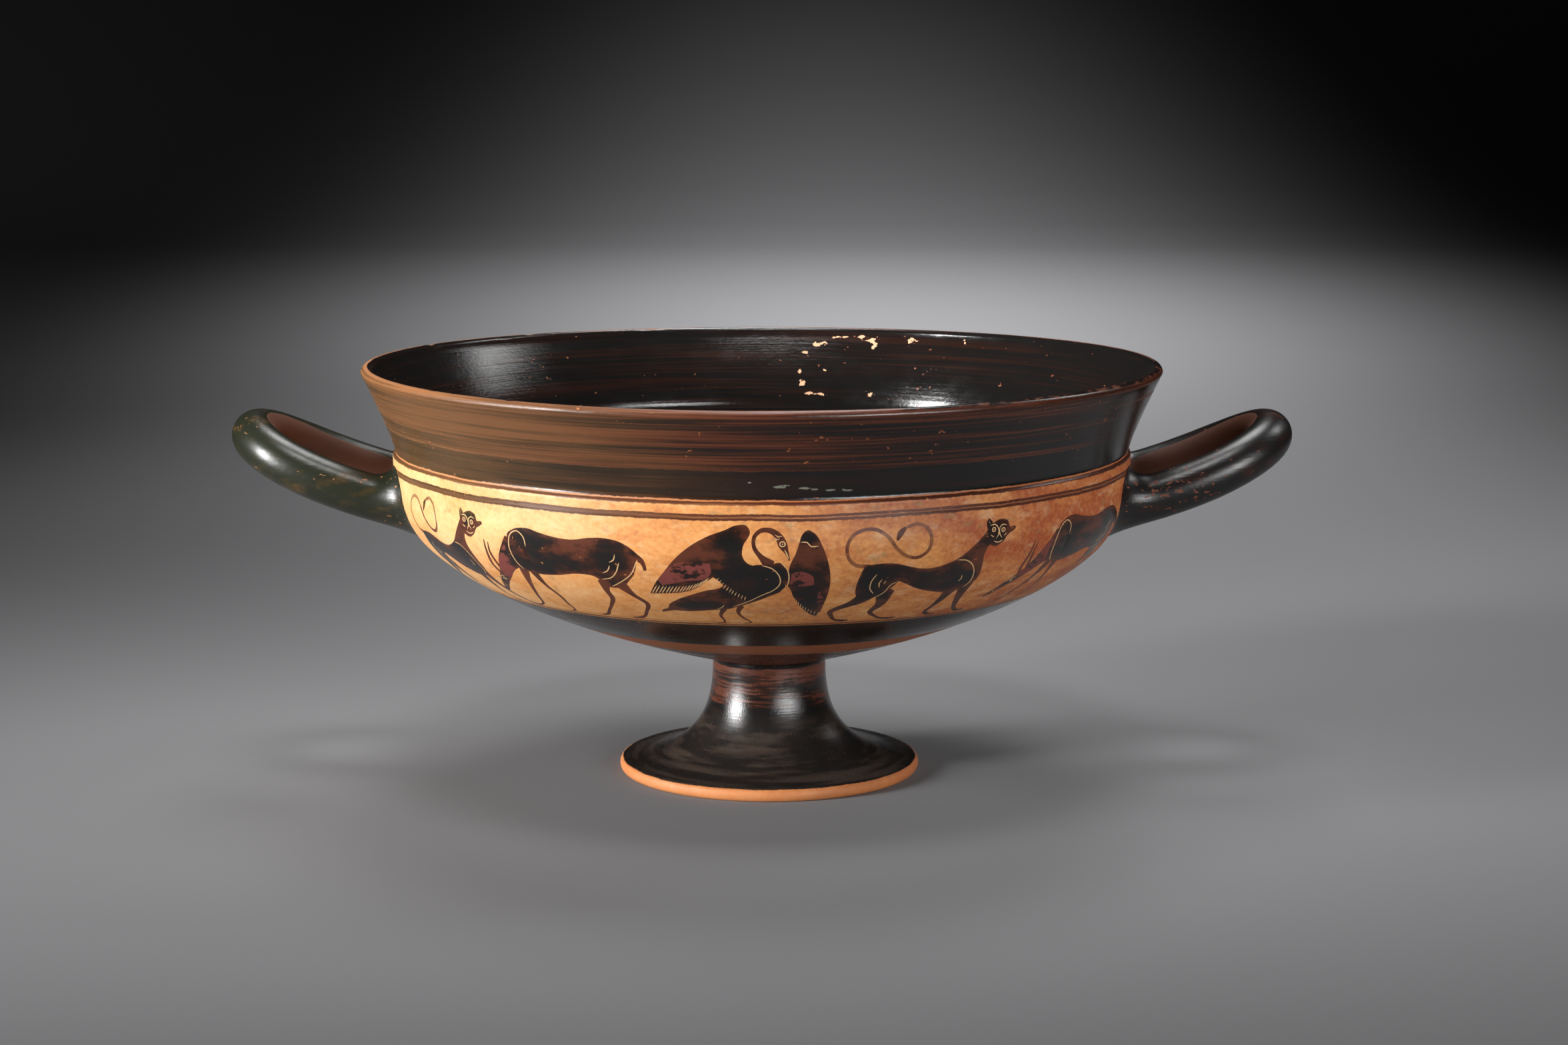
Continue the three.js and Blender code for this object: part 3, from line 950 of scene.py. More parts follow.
@dataclass
class Handles:
    """The two pulled handles, each a loop of oval section on two rounded roots."""

    sizes: CupSizes
    wall: Wall
    thickness: float = 14.3
    root_thickness: float = 21.0
    root_spacing: float = 52.0
    drop: float = 16.0
    rise: float = 20.2
    bulge: float = 0.25
    squareness: float = 0.64
    bend: float = 0.55
    root_blend: float = 3.0
    root_widening: float = 0.25
    sides: int = 48
    loop_rings: int = 84
    root_rings: int = 10
    clearance: float = 9.0  # from the wall to the first full ring of the loop
    smear_aside: float = 6.0  # how far the root's clay spreads on the wall, to each side, up and down
    smear_up: float = 3.2
    smear_down: float = 12.5
    bare_half_width: float = 6.8  # of the unpainted inner face, round the section
    bare_start: float = -6.0  # from the loop's first ring to the unpainted face
    bare_rounding: float = 3.0  # of that face's two ends
    root_hug: float = 0.75  # share by which a root leaves the wall along the wall
    root_pull: float = 0.22  # how far a root follows the wall, and the loop, as shares of its length
    loop_pull: float = 0.4
    band_place: float = 35.0  # where along the section the finish takes the handles to lie
    slip_depth: float = 4.0  # how far inside a painted figure it takes them to be

    def middle(self, share: np.ndarray, side: int) -> tuple[np.ndarray, np.ndarray, np.ndarray]:
        """The middle line of a handle.

        Args:
            share: from nought at one root to one at the other.
            side: 1 for the handle towards +X, or -1.

        Returns:
            Places, half widths and half heights of the section.
        """
        turn = math.pi * share
        start = self.sizes.bowl_radius - 2 * self.sizes.bowl_wall
        reach = self.sizes.handle_reach - self.thickness / 2
        out = np.maximum(np.sin(turn), 0) ** self.squareness
        across = self.root_spacing / 2 * np.cos(turn) * (1 + self.bulge * np.sin(turn) ** 2)
        smear = np.maximum(0, 1 - self.root_blend * out) ** 2
        lifted = out * (1 - self.bend) + out**2 * self.bend
        height = self.sizes.ledge_z - self.drop + self.rise * lifted
        place = np.stack([side * (start + (reach - start) * out), -side * across, height], 1)
        half = self.thickness / 2
        return place, half * (1 + self.root_widening * smear), half + (self.root_thickness / 2 - half) * smear

    def clear_share(self, side: int, gap: float) -> float:
        """Where the middle line first stands off the wall by a gap.

        Args:
            side: the handle.
            gap: the gap.

        Returns:
            The share of the middle line.
        """
        share = np.linspace(0, 0.4, 4001)
        place, _, _ = self.middle(share, side)
        span = slice(*self.wall.section.spans["bowl"])
        radius = np.interp(place[:, 2], self.wall.section.line[span, 1], self.wall.section.line[span, 0])
        return float(share[np.argmax(np.hypot(place[:, 0], place[:, 1]) > radius + gap)])

    def frame_at(self, share: np.ndarray, side: int) -> tuple[np.ndarray, np.ndarray, np.ndarray]:
        """Unit vectors along the middle line, sideways and upright at each share.

        Args:
            share: places on the middle line.
            side: the handle.

        Returns:
            The three directions, one row each for each share.
        """
        ahead, _, _ = self.middle(share + 1e-4, side)
        behind, _, _ = self.middle(share - 1e-4, side)
        along = ahead - behind
        along /= np.linalg.norm(along, axis=1)[:, None]
        sideways = np.cross(along, (0.0, 0.0, 1.0))
        sideways /= np.linalg.norm(sideways, axis=1)[:, None]
        return along, sideways, np.cross(sideways, along)

    def roots(self) -> list[tuple[int, bool]]:
        """The four roots, each as its handle's side and whether it is the far end of the loop."""
        return [(side, far) for side in (1, -1) for far in (False, True)]

    def footprint(self, side: int, far: bool) -> np.ndarray:
        """A root's oval outline on the unrolled wall, in the order of the section's points.

        Args:
            side: the handle.
            far: whether the root is at the far end of the loop.

        Returns:
            The outline, one row for each point.
        """
        share = self.clear_share(side, 0.0)
        at = np.array([1 - share if far else share])
        place, half_width, half_height = self.middle(at, side)
        _, sideways, _ = self.frame_at(at, side)
        turn = math.atan2(place[0, 0], -place[0, 1])
        v = self.wall.section.at_height("bowl", place[0, 2])
        way = math.copysign(1, sideways[0] @ (math.cos(turn), math.sin(turn), 0))
        angle = 2 * math.pi * np.arange(self.sides) / self.sides
        width = (half_width[0] + self.smear_aside) * DRUM / self.sizes.bowl_radius
        height = half_height[0] + np.where(np.sin(angle) > 0, self.smear_up, self.smear_down)
        return np.stack([turn * DRUM + way * width * np.cos(angle), v + height * np.sin(angle)], 1)

    def build(self, blank: Blank, loops: dict[tuple[int, bool], np.ndarray]) -> None:
        """Adds both handles.

        Args:
            blank: what collects the points.
            loops: each root's ring of points on the wall.
        """
        for side in (1, -1):
            self.build_one(blank, side, loops[side, False], loops[side, True])

    def build_one(self, blank: Blank, side: int, near: np.ndarray, far: np.ndarray) -> None:
        """Adds one handle between its two rings on the wall.

        Args:
            blank: what collects the points.
            side: the handle.
            near: the first root's ring on the wall.
            far: the other root's.
        """
        start = self.clear_share(side, self.clearance)
        share = np.linspace(0, 1, self.loop_rings)
        eased = start + (1 - 2 * start) * (share - 0.5 * np.sin(4 * math.pi * share) / (4 * math.pi))
        place, half_width, half_height = self.middle(eased, side)
        along, sideways, upright = self.frame_at(eased, side)
        angle = 2 * math.pi * np.arange(self.sides) / self.sides
        loop = (
            place[:, None]
            + sideways[:, None] * (half_width[:, None] * np.cos(angle))[:, :, None]
            + upright[:, None] * (half_height[:, None] * np.sin(angle))[:, :, None]
        )
        walked = np.concatenate([[0], np.cumsum(np.linalg.norm(np.diff(place, axis=0), axis=1))])
        from_root = np.minimum(walked, walked[-1] - walked)
        off_middle = np.abs(angle - math.pi) * self.thickness / 2
        points = np.vstack(blank.place)
        before = self.root(points[near], loop[0], along[0])
        after = self.root(points[far], loop[-1], -along[-1])[::-1]
        in_wall = -self.clearance * (1 - np.arange(1, self.root_rings) / self.root_rings)
        from_root = np.concatenate([in_wall, from_root, in_wall[::-1]])
        rings = [near]
        for ring, distance in zip([*before, *loop, *after], from_root):
            rounded = 1 - math.exp(-max(0.0, distance - self.bare_start) / self.bare_rounding)
            bare = self.bare_half_width * rounded - off_middle - (0 if rounded else 1)
            rings.append(blank.add_points(ring, self.band_place, self.on_drum(ring), self.slip_depth, bare, 0.0))
        rings.append(far)
        for first, second in zip(rings, rings[1:]):
            blank.add_strip(second, first, Paint.SLIP)

    def on_drum(self, ring: np.ndarray) -> np.ndarray:
        """Places on the handle carried over to the drum, so that patterns run on from the wall.

        Args:
            ring: places on the handle.

        Returns:
            The places on the drum.
        """
        span = slice(*self.wall.section.spans["bowl"])
        height = np.interp(ring[:, 2], self.wall.section.line[span, 1], self.wall.section.along[span])
        height += np.maximum(0, ring[:, 2] - self.sizes.ledge_z)
        share = DRUM / self.sizes.bowl_radius
        return np.stack([ring[:, 0] * share, ring[:, 1] * share, height], 1)

    def root(self, edge: np.ndarray, ring: np.ndarray, outward: np.ndarray) -> list[np.ndarray]:
        """The rounded root between a ring on the wall and the loop's first ring.

        Args:
            edge: the ring on the wall.
            ring: the loop's first ring.
            outward: the way the loop leaves the wall.

        Returns:
            The rings between the two.
        """
        middle = edge.mean(0)
        inward = middle - edge
        inward -= (inward @ outward)[:, None] * outward * self.root_hug
        inward /= np.linalg.norm(inward, axis=1)[:, None]
        reach = np.linalg.norm(ring - edge, axis=1)[:, None]
        rings = []
        for t in np.arange(1, self.root_rings) / self.root_rings:
            rings.append(
                (1 - t) ** 3 * edge + 3 * (1 - t) ** 2 * t * (edge + inward * reach * self.root_pull)
                + 3 * (1 - t) * t**2 * (ring - outward * reach * self.loop_pull) + t**3 * ring
            )
        return rings


@dataclass
class Frieze:
    """The painted band round the bowl, cut into faces along the outlines of what is painted on it."""

    wall: Wall
    handles: Handles
    low: float = -1.0
    high: float = 48.2
    spacing: float = 2.3  # of the loose points between the outlines
    stand_off: float = 0.75  # from a loose point to the nearest outline
    row_share: float = 0.866  # of the spacing, from one row of loose points to the next
    merge: float = 1e-5  # points nearer than this are one
    side_points: int = 22
    deepest: float = 2.1  # past this the brush filled a figure evenly

    def animals(self) -> tuple[list[Patch], list[Pool]]:
        """The patches and pools of every animal in its place, on the back plainer than on the front.

        Returns:
            The patches in the order of painting, and the pools.
        """
        goat, panther = Goat(), Panther()
        plain_goat, plain_panther = Goat(plain=True), Panther(plain=True)
        row = [
            (Panther(length=0.76), -95.5, 1.0), (goat, -76.0, 1.0), (Swan(), 0.0, 1.0),
            (panther, 67.5, 1.0), (goat, 96.0, 0.95),
            (plain_goat, 240.0, 0.95), (plain_panther, 338.0, 0.95),
            (plain_goat, -240.0, -0.95), (plain_panther, -338.0, -0.95),
        ]
        patches = [patch.moved(shift, stretch) for animal, shift, stretch in row for patch in animal.patches()]
        return patches, [pool.moved(shift, stretch) for animal, shift, stretch in row for pool in animal.pools()]

    def loose_points(self, outlines: Iterable[np.ndarray], half: float) -> np.ndarray:
        """Points that fill the band evenly, off every outline.

        Args:
            outlines: every outline on the band.
            half: half the band's length.

        Returns:
            The points, one row each.
        """
        samples = []
        for outline in outlines:
            ahead = np.roll(outline, -1, 0)
            samples.extend([outline, (outline + ahead) / 2])
        tree = KDTree(sum(len(s) for s in samples))
        for number, (u, v) in enumerate(np.vstack(samples)):
            tree.insert((u, v, 0), number)
        tree.balance()
        rows = np.arange(self.low + self.spacing, self.high - self.spacing / 2, self.spacing * self.row_share)
        places = []
        for number, v in enumerate(rows):
            shift = self.spacing / 2 * (number % 2)
            places += [(u + shift, v) for u in np.arange(-half + 1.5, half - self.spacing, self.spacing)]
        return np.array([p for p in places if tree.find((*p, 0))[2] > self.stand_off])

    def build(self, blank: Blank) -> tuple[np.ndarray, np.ndarray, dict[tuple[int, bool], np.ndarray]]:
        """Adds the band.

        Args:
            blank: what collects the points.

        Returns:
            The band's lowest ring, its highest ring and each root's ring.
        """
        half = math.pi * DRUM
        columns = self.wall.columns
        across = np.linspace(-half, half, columns + 1)
        sides = np.linspace(self.low, self.high, self.side_points + 1)[1:-1]
        patches, pools = self.animals()
        prints = {root: self.handles.footprint(*root) for root in self.handles.roots()}
        loops = [patch.outline for patch in patches] + list(prints.values())
        fixed = [np.stack([across, np.full(columns + 1, level)], 1) for level in (self.low, self.high)]
        fixed += [np.stack([np.full(len(sides), u), sides], 1) for u in (-half, half)]
        loose = self.loose_points([*loops, *fixed], half)
        loose = loose[~np.any([inside(outline, loose) for outline in prints.values()], axis=0)]
        starts = np.cumsum([0] + [len(loop) for loop in loops])
        edges = [(a + k, a + (k + 1) % (b - a)) for a, b in zip(starts, starts[1:]) for k in range(b - a)]
        points = np.vstack([*loops, *fixed, loose])
        found = delaunay_2d_cdt([Vector(p) for p in points], edges, [], 0, self.merge, True)
        places = np.array([tuple(p) for p in found[0]])
        number = {old: new for new, olds in enumerate(found[3]) for old in olds}
        triangles = np.array([face for face in found[2] if len(face) == 3])
        centres = places[triangles].mean(1)
        kept = ~np.any([inside(outline, centres) for outline in prints.values()], axis=0)
        triangles, centres = triangles[kept], centres[kept]
        a, b, c = (places[triangles[:, k]] for k in range(3))
        turned = (b[:, 0] - a[:, 0]) * (c[:, 1] - a[:, 1]) < (b[:, 1] - a[:, 1]) * (c[:, 0] - a[:, 0])
        triangles[turned] = triangles[turned][:, ::-1]
        paint = np.array([Paint.CLAY] * len(triangles), object)
        for patch in patches:
            within = inside(patch.outline, centres)
            if patch.paint in (Paint.RED, Paint.CUT):  # both only show where there is slip below them
                within &= paint != Paint.CLAY
            paint[within] = patch.paint
        depth = self.depths(places, triangles, paint) + sum(pool.at(places) for pool in pools)
        # The two ends of the unrolled band are one line on the cup.
        right = [number[starts[-1] + 2 * (columns + 1) + len(sides) + k] for k in range(len(sides))]
        left = [number[starts[-1] + 2 * (columns + 1) + k] for k in range(len(sides))]
        low = [number[starts[-1] + k] for k in range(columns + 1)]
        high = [number[starts[-1] + columns + 1 + k] for k in range(columns + 1)]
        same = np.arange(len(places))
        same[right + [low[-1], high[-1]]] = left + [low[0], high[0]]
        used = np.unique(same[triangles])
        fresh = np.full(len(places), -1)
        fresh[used] = blank.add_points(
            self.wall.surface(*places[used].T), places[used, 1], self.wall.on_drum(*places[used].T), depth[used],
        )
        blank.faces += [tuple(int(i) for i in face) for face in fresh[same[triangles]]]
        blank.paints += [each.value for each in paint]
        ends = {root: fresh[[number[starts[len(patches) + k] + i] for i in range(self.handles.sides)]]
                for k, root in enumerate(prints)}
        LOG.info("band: %d faces, %d painted patches", len(triangles), len(patches))
        return fresh[low[:-1]], fresh[high[:-1]], ends

    def depths(self, places: np.ndarray, triangles: np.ndarray, paint: np.ndarray) -> np.ndarray:
        """How far each point lies inside the painted figures.

        Args:
            places: the points of the band.
            triangles: its faces.
            paint: each face's paint.

        Returns:
            A distance for each point, nought outside the figures and on their outlines.
        """
        painted = np.array([each is not Paint.CLAY for each in paint])
        touched, clear = np.zeros(len(places), bool), np.zeros(len(places), bool)
        touched[triangles[painted].ravel()] = True
        clear[triangles[~painted].ravel()] = True
        edge = np.flatnonzero(touched & clear)
        tree = KDTree(len(edge))
        for k in edge:
            tree.insert((*places[k], 0), int(k))
        tree.balance()
        depth = np.zeros(len(places))
        for k in np.flatnonzero(touched & ~clear):
            depth[k] = min(self.deepest, tree.find((*places[k], 0))[2])
        return depth


@dataclass(frozen=True)
class WheelAndKiln:
    """The node tree that throws the blank into the round, leaves the wheel's rings and settles it."""

    ring_depth: float = 0.09
    ring_spacing: float = 5.5
    chip_depth: float = 0.45
    chip_size: float = 5.0
    chip_from: float = 0.64  # the noise from which the edge starts to chip, and where a chip is deepest
    chip_full: float = 0.76
    crest_reach: float = 2.0  # how far below its crest the rim may chip
    foot_reach: float = 47.8  # how far from the axis the foot's edge may
    axis_fade: float = 12.0  # within this the wheel's rings fade out
    seed: int = 7

    def inputs(self, sizes: CupSizes) -> dict[str, float]:
        """The tree's named inputs, lengths in metres.

        Args:
            sizes: the cup's sizes.

        Returns:
            A value for each name.
        """
        return {
            "Ring Depth": self.ring_depth * MM,
            "Ring Spacing": self.ring_spacing,
            "Chip Depth": self.chip_depth * MM,
            "Chip Size": self.chip_size * MM,
            "Stem Lean": sizes.stem_lean * MM,
            "Rim Saddle": sizes.rim_saddle * MM,
            "Bowl Low": sizes.bowl_low_z * MM,
            "Ledge": sizes.ledge_z * MM,
            "Crest": sizes.height * MM,
            "Foot Top": sizes.foot_edge_height * MM,
        }

    def tree(self, sizes: CupSizes, material: bpy.types.Material) -> NodeTree:
        """Builds the tree.

        Args:
            sizes: the cup's sizes.
            material: the finish that the tree sets.

        Returns:
            The node tree, ready for a modifier.
        """
        tree = bpy.data.node_groups.new("wheel_and_kiln", "GeometryNodeTree")
        tree.interface.new_socket("Blank", in_out="INPUT", socket_type="NodeSocketGeometry")
        for name in self.inputs(sizes):
            tree.interface.new_socket(name, in_out="INPUT", socket_type="NodeSocketFloat")
        tree.interface.new_socket("Seed", in_out="INPUT", socket_type="NodeSocketInt")
        tree.interface.new_socket("Cup", in_out="OUTPUT", socket_type="NodeSocketGeometry")
        given = add(tree, "NodeGroupInput").outputs
        radius, turn, height, along, thrown = (
            add(tree, "GeometryNodeInputNamedAttribute", {"Name": name}).outputs["Attribute"]
            for name in ("radius", "turn", "height", "along", "thrown")
        )
        thrown_place = self.throw(tree, given, radius, turn, height, along, thrown)
        turned = add(tree, "GeometryNodeSetPosition", {"Geometry": given["Blank"], "Position": thrown_place})
        chipped = add(tree, "GeometryNodeSetPosition", {
            "Geometry": turned, "Offset": self.chips(tree, given, radius, height)})
        settled = add(tree, "GeometryNodeSetPosition", {
            "Geometry": chipped, "Offset": self.settle(tree, given, turn, height)})
        real = add(tree, "GeometryNodeRealizeInstances", {"Geometry": settled})
        dressed = add(tree, "GeometryNodeSetMaterial", {"Geometry": real, "Material": material})
        add(tree, "NodeGroupOutput", {"Cup": dressed})
        return tree

    def throw(self, tree: NodeTree, given: Any, radius: Any, turn: Any, height: Any, along: Any,
              thrown: Any) -> Any:
        """The place of each point on the wheel, with the faint rings that the fingers left.

        Args:
            tree: the tree that takes the nodes.
            given: the tree's inputs.
            radius: each point's distance from the axis.
            turn: its angle from the front.
            height: its height.
            along: its place along the section.
            thrown: one on the turned body, nought on the handles.

        Returns:
            The place.
        """
        level = add(tree, MATH, [along, given["Ring Spacing"]], operation="DIVIDE")
        rounded = add(tree, MATH, [turn], operation="COSINE")
        where = add(tree, "ShaderNodeCombineXYZ", {"X": level, "Y": rounded, "Z": given["Seed"]})
        rings = add(tree, "ShaderNodeTexNoise", {"Vector": where, "Scale": 1.0, "Detail": 1.0})
        depth = add(tree, TIMES, [rings, given["Ring Depth"]])
        outward = add(tree, MAP_RANGE, [radius, 0.0, self.axis_fade * MM])
        turned = add(tree, TIMES, [thrown, outward])
        worn = add(tree, TIMES, [depth, turned])
        reach = add(tree, MINUS, [radius, worn])
        whole = add(tree, LARGER, [reach, 0.0])
        sine = add(tree, MATH, [turn], operation="SINE")
        x = add(tree, TIMES, [whole, sine])
        y = add(tree, TIMES, [whole, rounded])
        back = add(tree, TIMES, [y, -1.0])
        return add(tree, "ShaderNodeCombineXYZ", {"X": x, "Y": back, "Z": height})

    def chips(self, tree: NodeTree, given: Any, radius: Any, height: Any) -> Any:
        """How far small chips sink the crest of the rim and the foot's edge.

        Args:
            tree: the tree that takes the nodes.
            given: the tree's inputs.
            radius: each point's distance from the axis.
            height: its height.

        Returns:
            The offset.
        """
        place = add(tree, "GeometryNodeInputPosition")
        size = add(tree, MATH, [1.0, given["Chip Size"]], operation="DIVIDE")
        noise = add(tree, "ShaderNodeTexNoise", {"Vector": place, "Scale": size, "Detail": 2.0})
        chip = add(tree, MAP_RANGE, [noise, self.chip_from, self.chip_full], interpolation_type="SMOOTHSTEP")
        near_crest = add(tree, MINUS, [given["Crest"], self.crest_reach * MM])
        rim = add(tree, MATH, [height, near_crest], operation="GREATER_THAN")
        low = add(tree, MATH, [height, given["Foot Top"]], operation="LESS_THAN")
        outer = add(tree, MATH, [radius, self.foot_reach * MM], operation="GREATER_THAN")
        foot = add(tree, TIMES, [low, outer])
        edge = add(tree, LARGER, [rim, foot])
        on_edge = add(tree, TIMES, [edge, chip])
        sunk = add(tree, TIMES, [on_edge, given["Chip Depth"]])
        inward = add(tree, TIMES, [sunk, -1.0])
        normal = add(tree, "GeometryNodeInputNormal")
        return add(tree, VECTOR_MATH, {0: normal, "Scale": inward}, operation="SCALE")

    def settle(self, tree: NodeTree, given: Any, turn: Any, height: Any) -> Any:
        """The kiln's slump: the foot stands off to +X and the rim rises over the handles.

        Args:
            tree: the tree that takes the nodes.
            given: the tree's inputs.
            turn: each point's angle from the front.
            height: its height.

        Returns:
            The offset.
        """
        upright = add(tree, MAP_RANGE, [
            height, given["Bowl Low"], given["Ledge"], given["Stem Lean"], 0.0], interpolation_type="SMOOTHSTEP")
        lifted = add(tree, MAP_RANGE, [
            height, given["Bowl Low"], given["Crest"], 0.0, given["Rim Saddle"]], interpolation_type="SMOOTHSTEP")
        sine = add(tree, MATH, [turn], operation="SINE")
        squared = add(tree, MATH, [sine, 2.0], operation="POWER")
        up = add(tree, TIMES, [lifted, squared])
        return add(tree, "ShaderNodeCombineXYZ", {"X": upright, "Z": up})

    def apply(self, blank: bpy.types.Object, sizes: CupSizes, material: bpy.types.Material) -> bpy.types.Object:
        """Runs the tree on a blank and keeps the result as a plain mesh.

        Args:
            blank: the blank, which is used up.
            sizes: the cup's sizes.
            material: its finish.

        Returns:
            The finished object.
        """
        modifier = blank.modifiers.new("wheel_and_kiln", "NODES")
        modifier.node_group = self.tree(sizes, material)
        values = {**self.inputs(sizes), "Seed": self.seed}
        for item in modifier.node_group.interface.items_tree:
            if item.in_out == "INPUT" and item.name in values:
                modifier[item.identifier] = values[item.name]
        bpy.context.view_layer.update()
        evaluated = blank.evaluated_get(bpy.context.evaluated_depsgraph_get())
        mesh = bpy.data.meshes.new_from_object(evaluated)
        blank.modifiers.clear()
        blank.data = mesh
        for helper in ("radius", "turn", "height"):
            mesh.attributes.remove(mesh.attributes[helper])
        return blank


@dataclass(frozen=True)
class Stripe:
    """A band of slip round the cup, between two places along the section."""

    start: float
    end: float
    thickness: float  # of the slip towards +X, from nought to one
    left: float | None = None  # the same towards -X, where the kiln was cooler
    streaks: float = 0.3  # share of the thickness that comes and goes in brush lines
    softness: float = 0.14  # of its edges


@dataclass(frozen=True)
class Mark:
    """A flake or a scratch: its place round the cup and along the section, and its half sizes."""

    u: float
    along: float
    half_round: float
    half_up: float


@dataclass(frozen=True)
class PaintedClay:
    """Earthenware of fine orange clay, painted with a slip that fired black where it is thick.

    The eye gets a satin orange ground, a glossy black that turns brown in thin brush marks and at its edges,
    matt purple-red, and pale dry lines where the graver cut through the slip. The slip is olive towards -X.
    """

    clay_pale: str = "#edba80"
    clay_warm: str = "#dc9654"
    clay_red: str = "#a14f29"
    clay_cream: str = "#eac79a"
    clay_stain: str = "#8d7a55"
    clay_shaded: str = "#b3683a"
    # painted shade: the clay of the unpainted stripe under the bowl, where little light reaches
    clay_under_shade: str = "#a25c3b"
    pit: str = "#3a2418"
    slip_thin: str = "#62321f"
    slip_thin_left: str = "#704b2c"
    slip_brown: str = "#301b14"
    slip_brown_left: str = "#40341f"
    slip_black: str = "#191716"
    slip_black_left: str = "#22251a"
    added_red: str = "#7a3a33"
    cut_line: str = "#d2a673"
    bare_clay: str = "#5a301b"
    flake: str = "#e8b88e"
    scratch: str = "#a9b09a"
    # greyish streaks on the foot: dust, and a painted sheen standing in for soft reflections
    foot_dust_and_sheen: str = "#5c5046"
    clay_roughness: float = 0.5
    slip_roughness: float = 0.145
    handled: float = 0.15  # added where hands held the cup
    dust_and_sheen: float = 0.1  # added on the foot
    matt: float = 0.55  # of the red and the cut lines
    relief_depth: float = 0.12  # millimetres
    relief_strength: float = 0.4
    slip_relief: float = 0.35  # of the animals' slip beside the wheel's marks
    cool: float = -105.0  # where along X the kiln was coolest, and where hot enough for black slip
    hot: float = 62.0
    smoke_end: float = 5.0  # to here the lip and the handles are olive
    grains: dict[str, tuple[float, float, float]] = field(default_factory=lambda: {
        # spots' size round the cup and up it in millimetres, and levels of detail
        "kiln": (55.0, 22.0, 3.0),
        "wander": (34.0, 30.0, 4.0),
        "streak": (60.0, 0.75, 5.0),
        "swath": (110.0, 4.5, 3.0),
        "brush": (8.0, 4.5, 4.0),
        "speck": (2.2, 1.5, 3.0),
        "cloud": (24.0, 12.0, 5.0),
        "cream": (5.5, 3.4, 5.0),
        "dust": (1.5, 1.2, 4.0),
        "worn": (5.0, 3.2, 4.0),
    })

    def material(self, section: TurnedSection) -> bpy.types.Material:
        """Builds the material.

        Args:
            section: the cup's section, which places the stripes.

        Returns:
            The material.
        """
        material = bpy.data.materials.new("slip_painted_earthenware")
        material.use_nodes = True
        tree = material.node_tree
        tree.nodes.clear()
        read = {name: add(tree, "ShaderNodeAttribute", attribute_name=name)
                for name in ("along", "depth", "bare", "thrown", "wheel", "paint")}
        along, wheel = read["along"].outputs["Fac"], read["wheel"].outputs["Vector"]
        noise = self.noises(tree, wheel)
        place = add(tree, "ShaderNodeTexCoord")
        sides = add(tree, "ShaderNodeSeparateXYZ", [place.outputs["Object"]])
        across = add(tree, TIMES, [sides.outputs["X"], 1 / MM])
        patch = add(tree, MAP_RANGE, {0: noise["kiln"], 3: -45.0, 4: 45.0})
        drifted = add(tree, MATH, [across, patch])
        kiln = add(tree, MAP_RANGE, [drifted, self.cool, self.hot], interpolation_type="SMOOTHSTEP")
        handle = add(tree, MINUS, [1.0, read["thrown"].outputs["Fac"]])
        shares = add(tree, "ShaderNodeSeparateColor", [read["paint"].outputs["Color"]]).outputs
        stripes = self.stripes(tree, section, along, wheel, across, kiln, noise)
        figures = self.figures(tree, shares[0], read["paint"].outputs["Alpha"], read["depth"].outputs["Fac"], noise)
        bare = add(tree, MAP_RANGE, [read["bare"].outputs["Fac"], -0.25, 0.25])
        painted = add(tree, LARGER, [stripes, figures])
        covered = add(tree, MINUS, [1.0, bare])
        kept = add(tree, TIMES, [painted, covered])
        flakes = self.marks(tree, wheel, noise["speck"], self.flakes(section))
        up = add(tree, TIMES, [sides.outputs["Z"], 1 / MM])
        low = add(tree, MAP_RANGE, [up, 110.0, 96.0])
        right = add(tree, MAP_RANGE, [across, -130.0, 130.0, 0.008, 0.075])
        scuffed = add(tree, TIMES, [low, right])
        touched = add(tree, MATH, [scuffed, 0.014])
        rubbed = add(tree, TIMES, [touched, handle])
        thickness = self.wear(tree, kept, rubbed, flakes, noise)
        ground = self.clay(tree, across, along, bare, handle, flakes, noise)
        _, lip_end = section.span("lip")
        on_lip = add(tree, MATH, [along, (lip_end + 42) / 2, (lip_end - 42) / 2 + 3], operation="COMPARE")
        smoked = add(tree, LARGER, [on_lip, handle])
        cool = add(tree, MAP_RANGE, [drifted, self.cool, self.smoke_end], interpolation_type="SMOOTHSTEP")
        tint = add(tree, MIX, {0: smoked, 2: 1.0, 3: cool})
        colour = self.slip(tree, ground, thickness, tint)
        colour, red = self.red(tree, colour, shares[1], noise)
        scratches = self.marks(tree, wheel, noise["speck"], self.scratches(section))
        faint = add(tree, TIMES, [scratches, 0.45])
        flare = add(tree, MAP_RANGE, [along, -97.0, -104.0])
        # On the flat of the foot greyish streaks are mixed into the slip: dust, and a painted sheen of soft
        # reflections.
        grey_streaks = add(tree, MAP_RANGE, [noise["swath"], 0.46, 0.6, 0.05, 0.42])
        dust_and_sheen = add(tree, TIMES, [flare, grey_streaks])
        dust_and_sheen_amount = add(tree, TIMES, [dust_and_sheen, thickness])
        for share, shade in ((dust_and_sheen_amount, self.foot_dust_and_sheen), (faint, self.scratch), (shares[2], self.cut_line)):
            colour = add(tree, MIX, {0: share, 6: colour, 7: linear(shade)}, data_type="RGBA").outputs[2]
        gloss = self.roughness(tree, thickness, flare, handle, red, shares[2], noise)
        flat = add(tree, VECTOR_MATH, [place.outputs["Object"], (1.0, 1.0, 0.0)], operation="MULTIPLY")
        from_axis = add(tree, VECTOR_MATH, [flat], operation="LENGTH").outputs["Value"]
        relief = self.relief(tree, shares[0], from_axis, noise)
        shader = add(tree, "ShaderNodeBsdfPrincipled", {
            "Base Color": colour, "Roughness": gloss, "Normal": relief, "IOR": 1.5})
        add(tree, "ShaderNodeOutputMaterial", [shader])
        return material

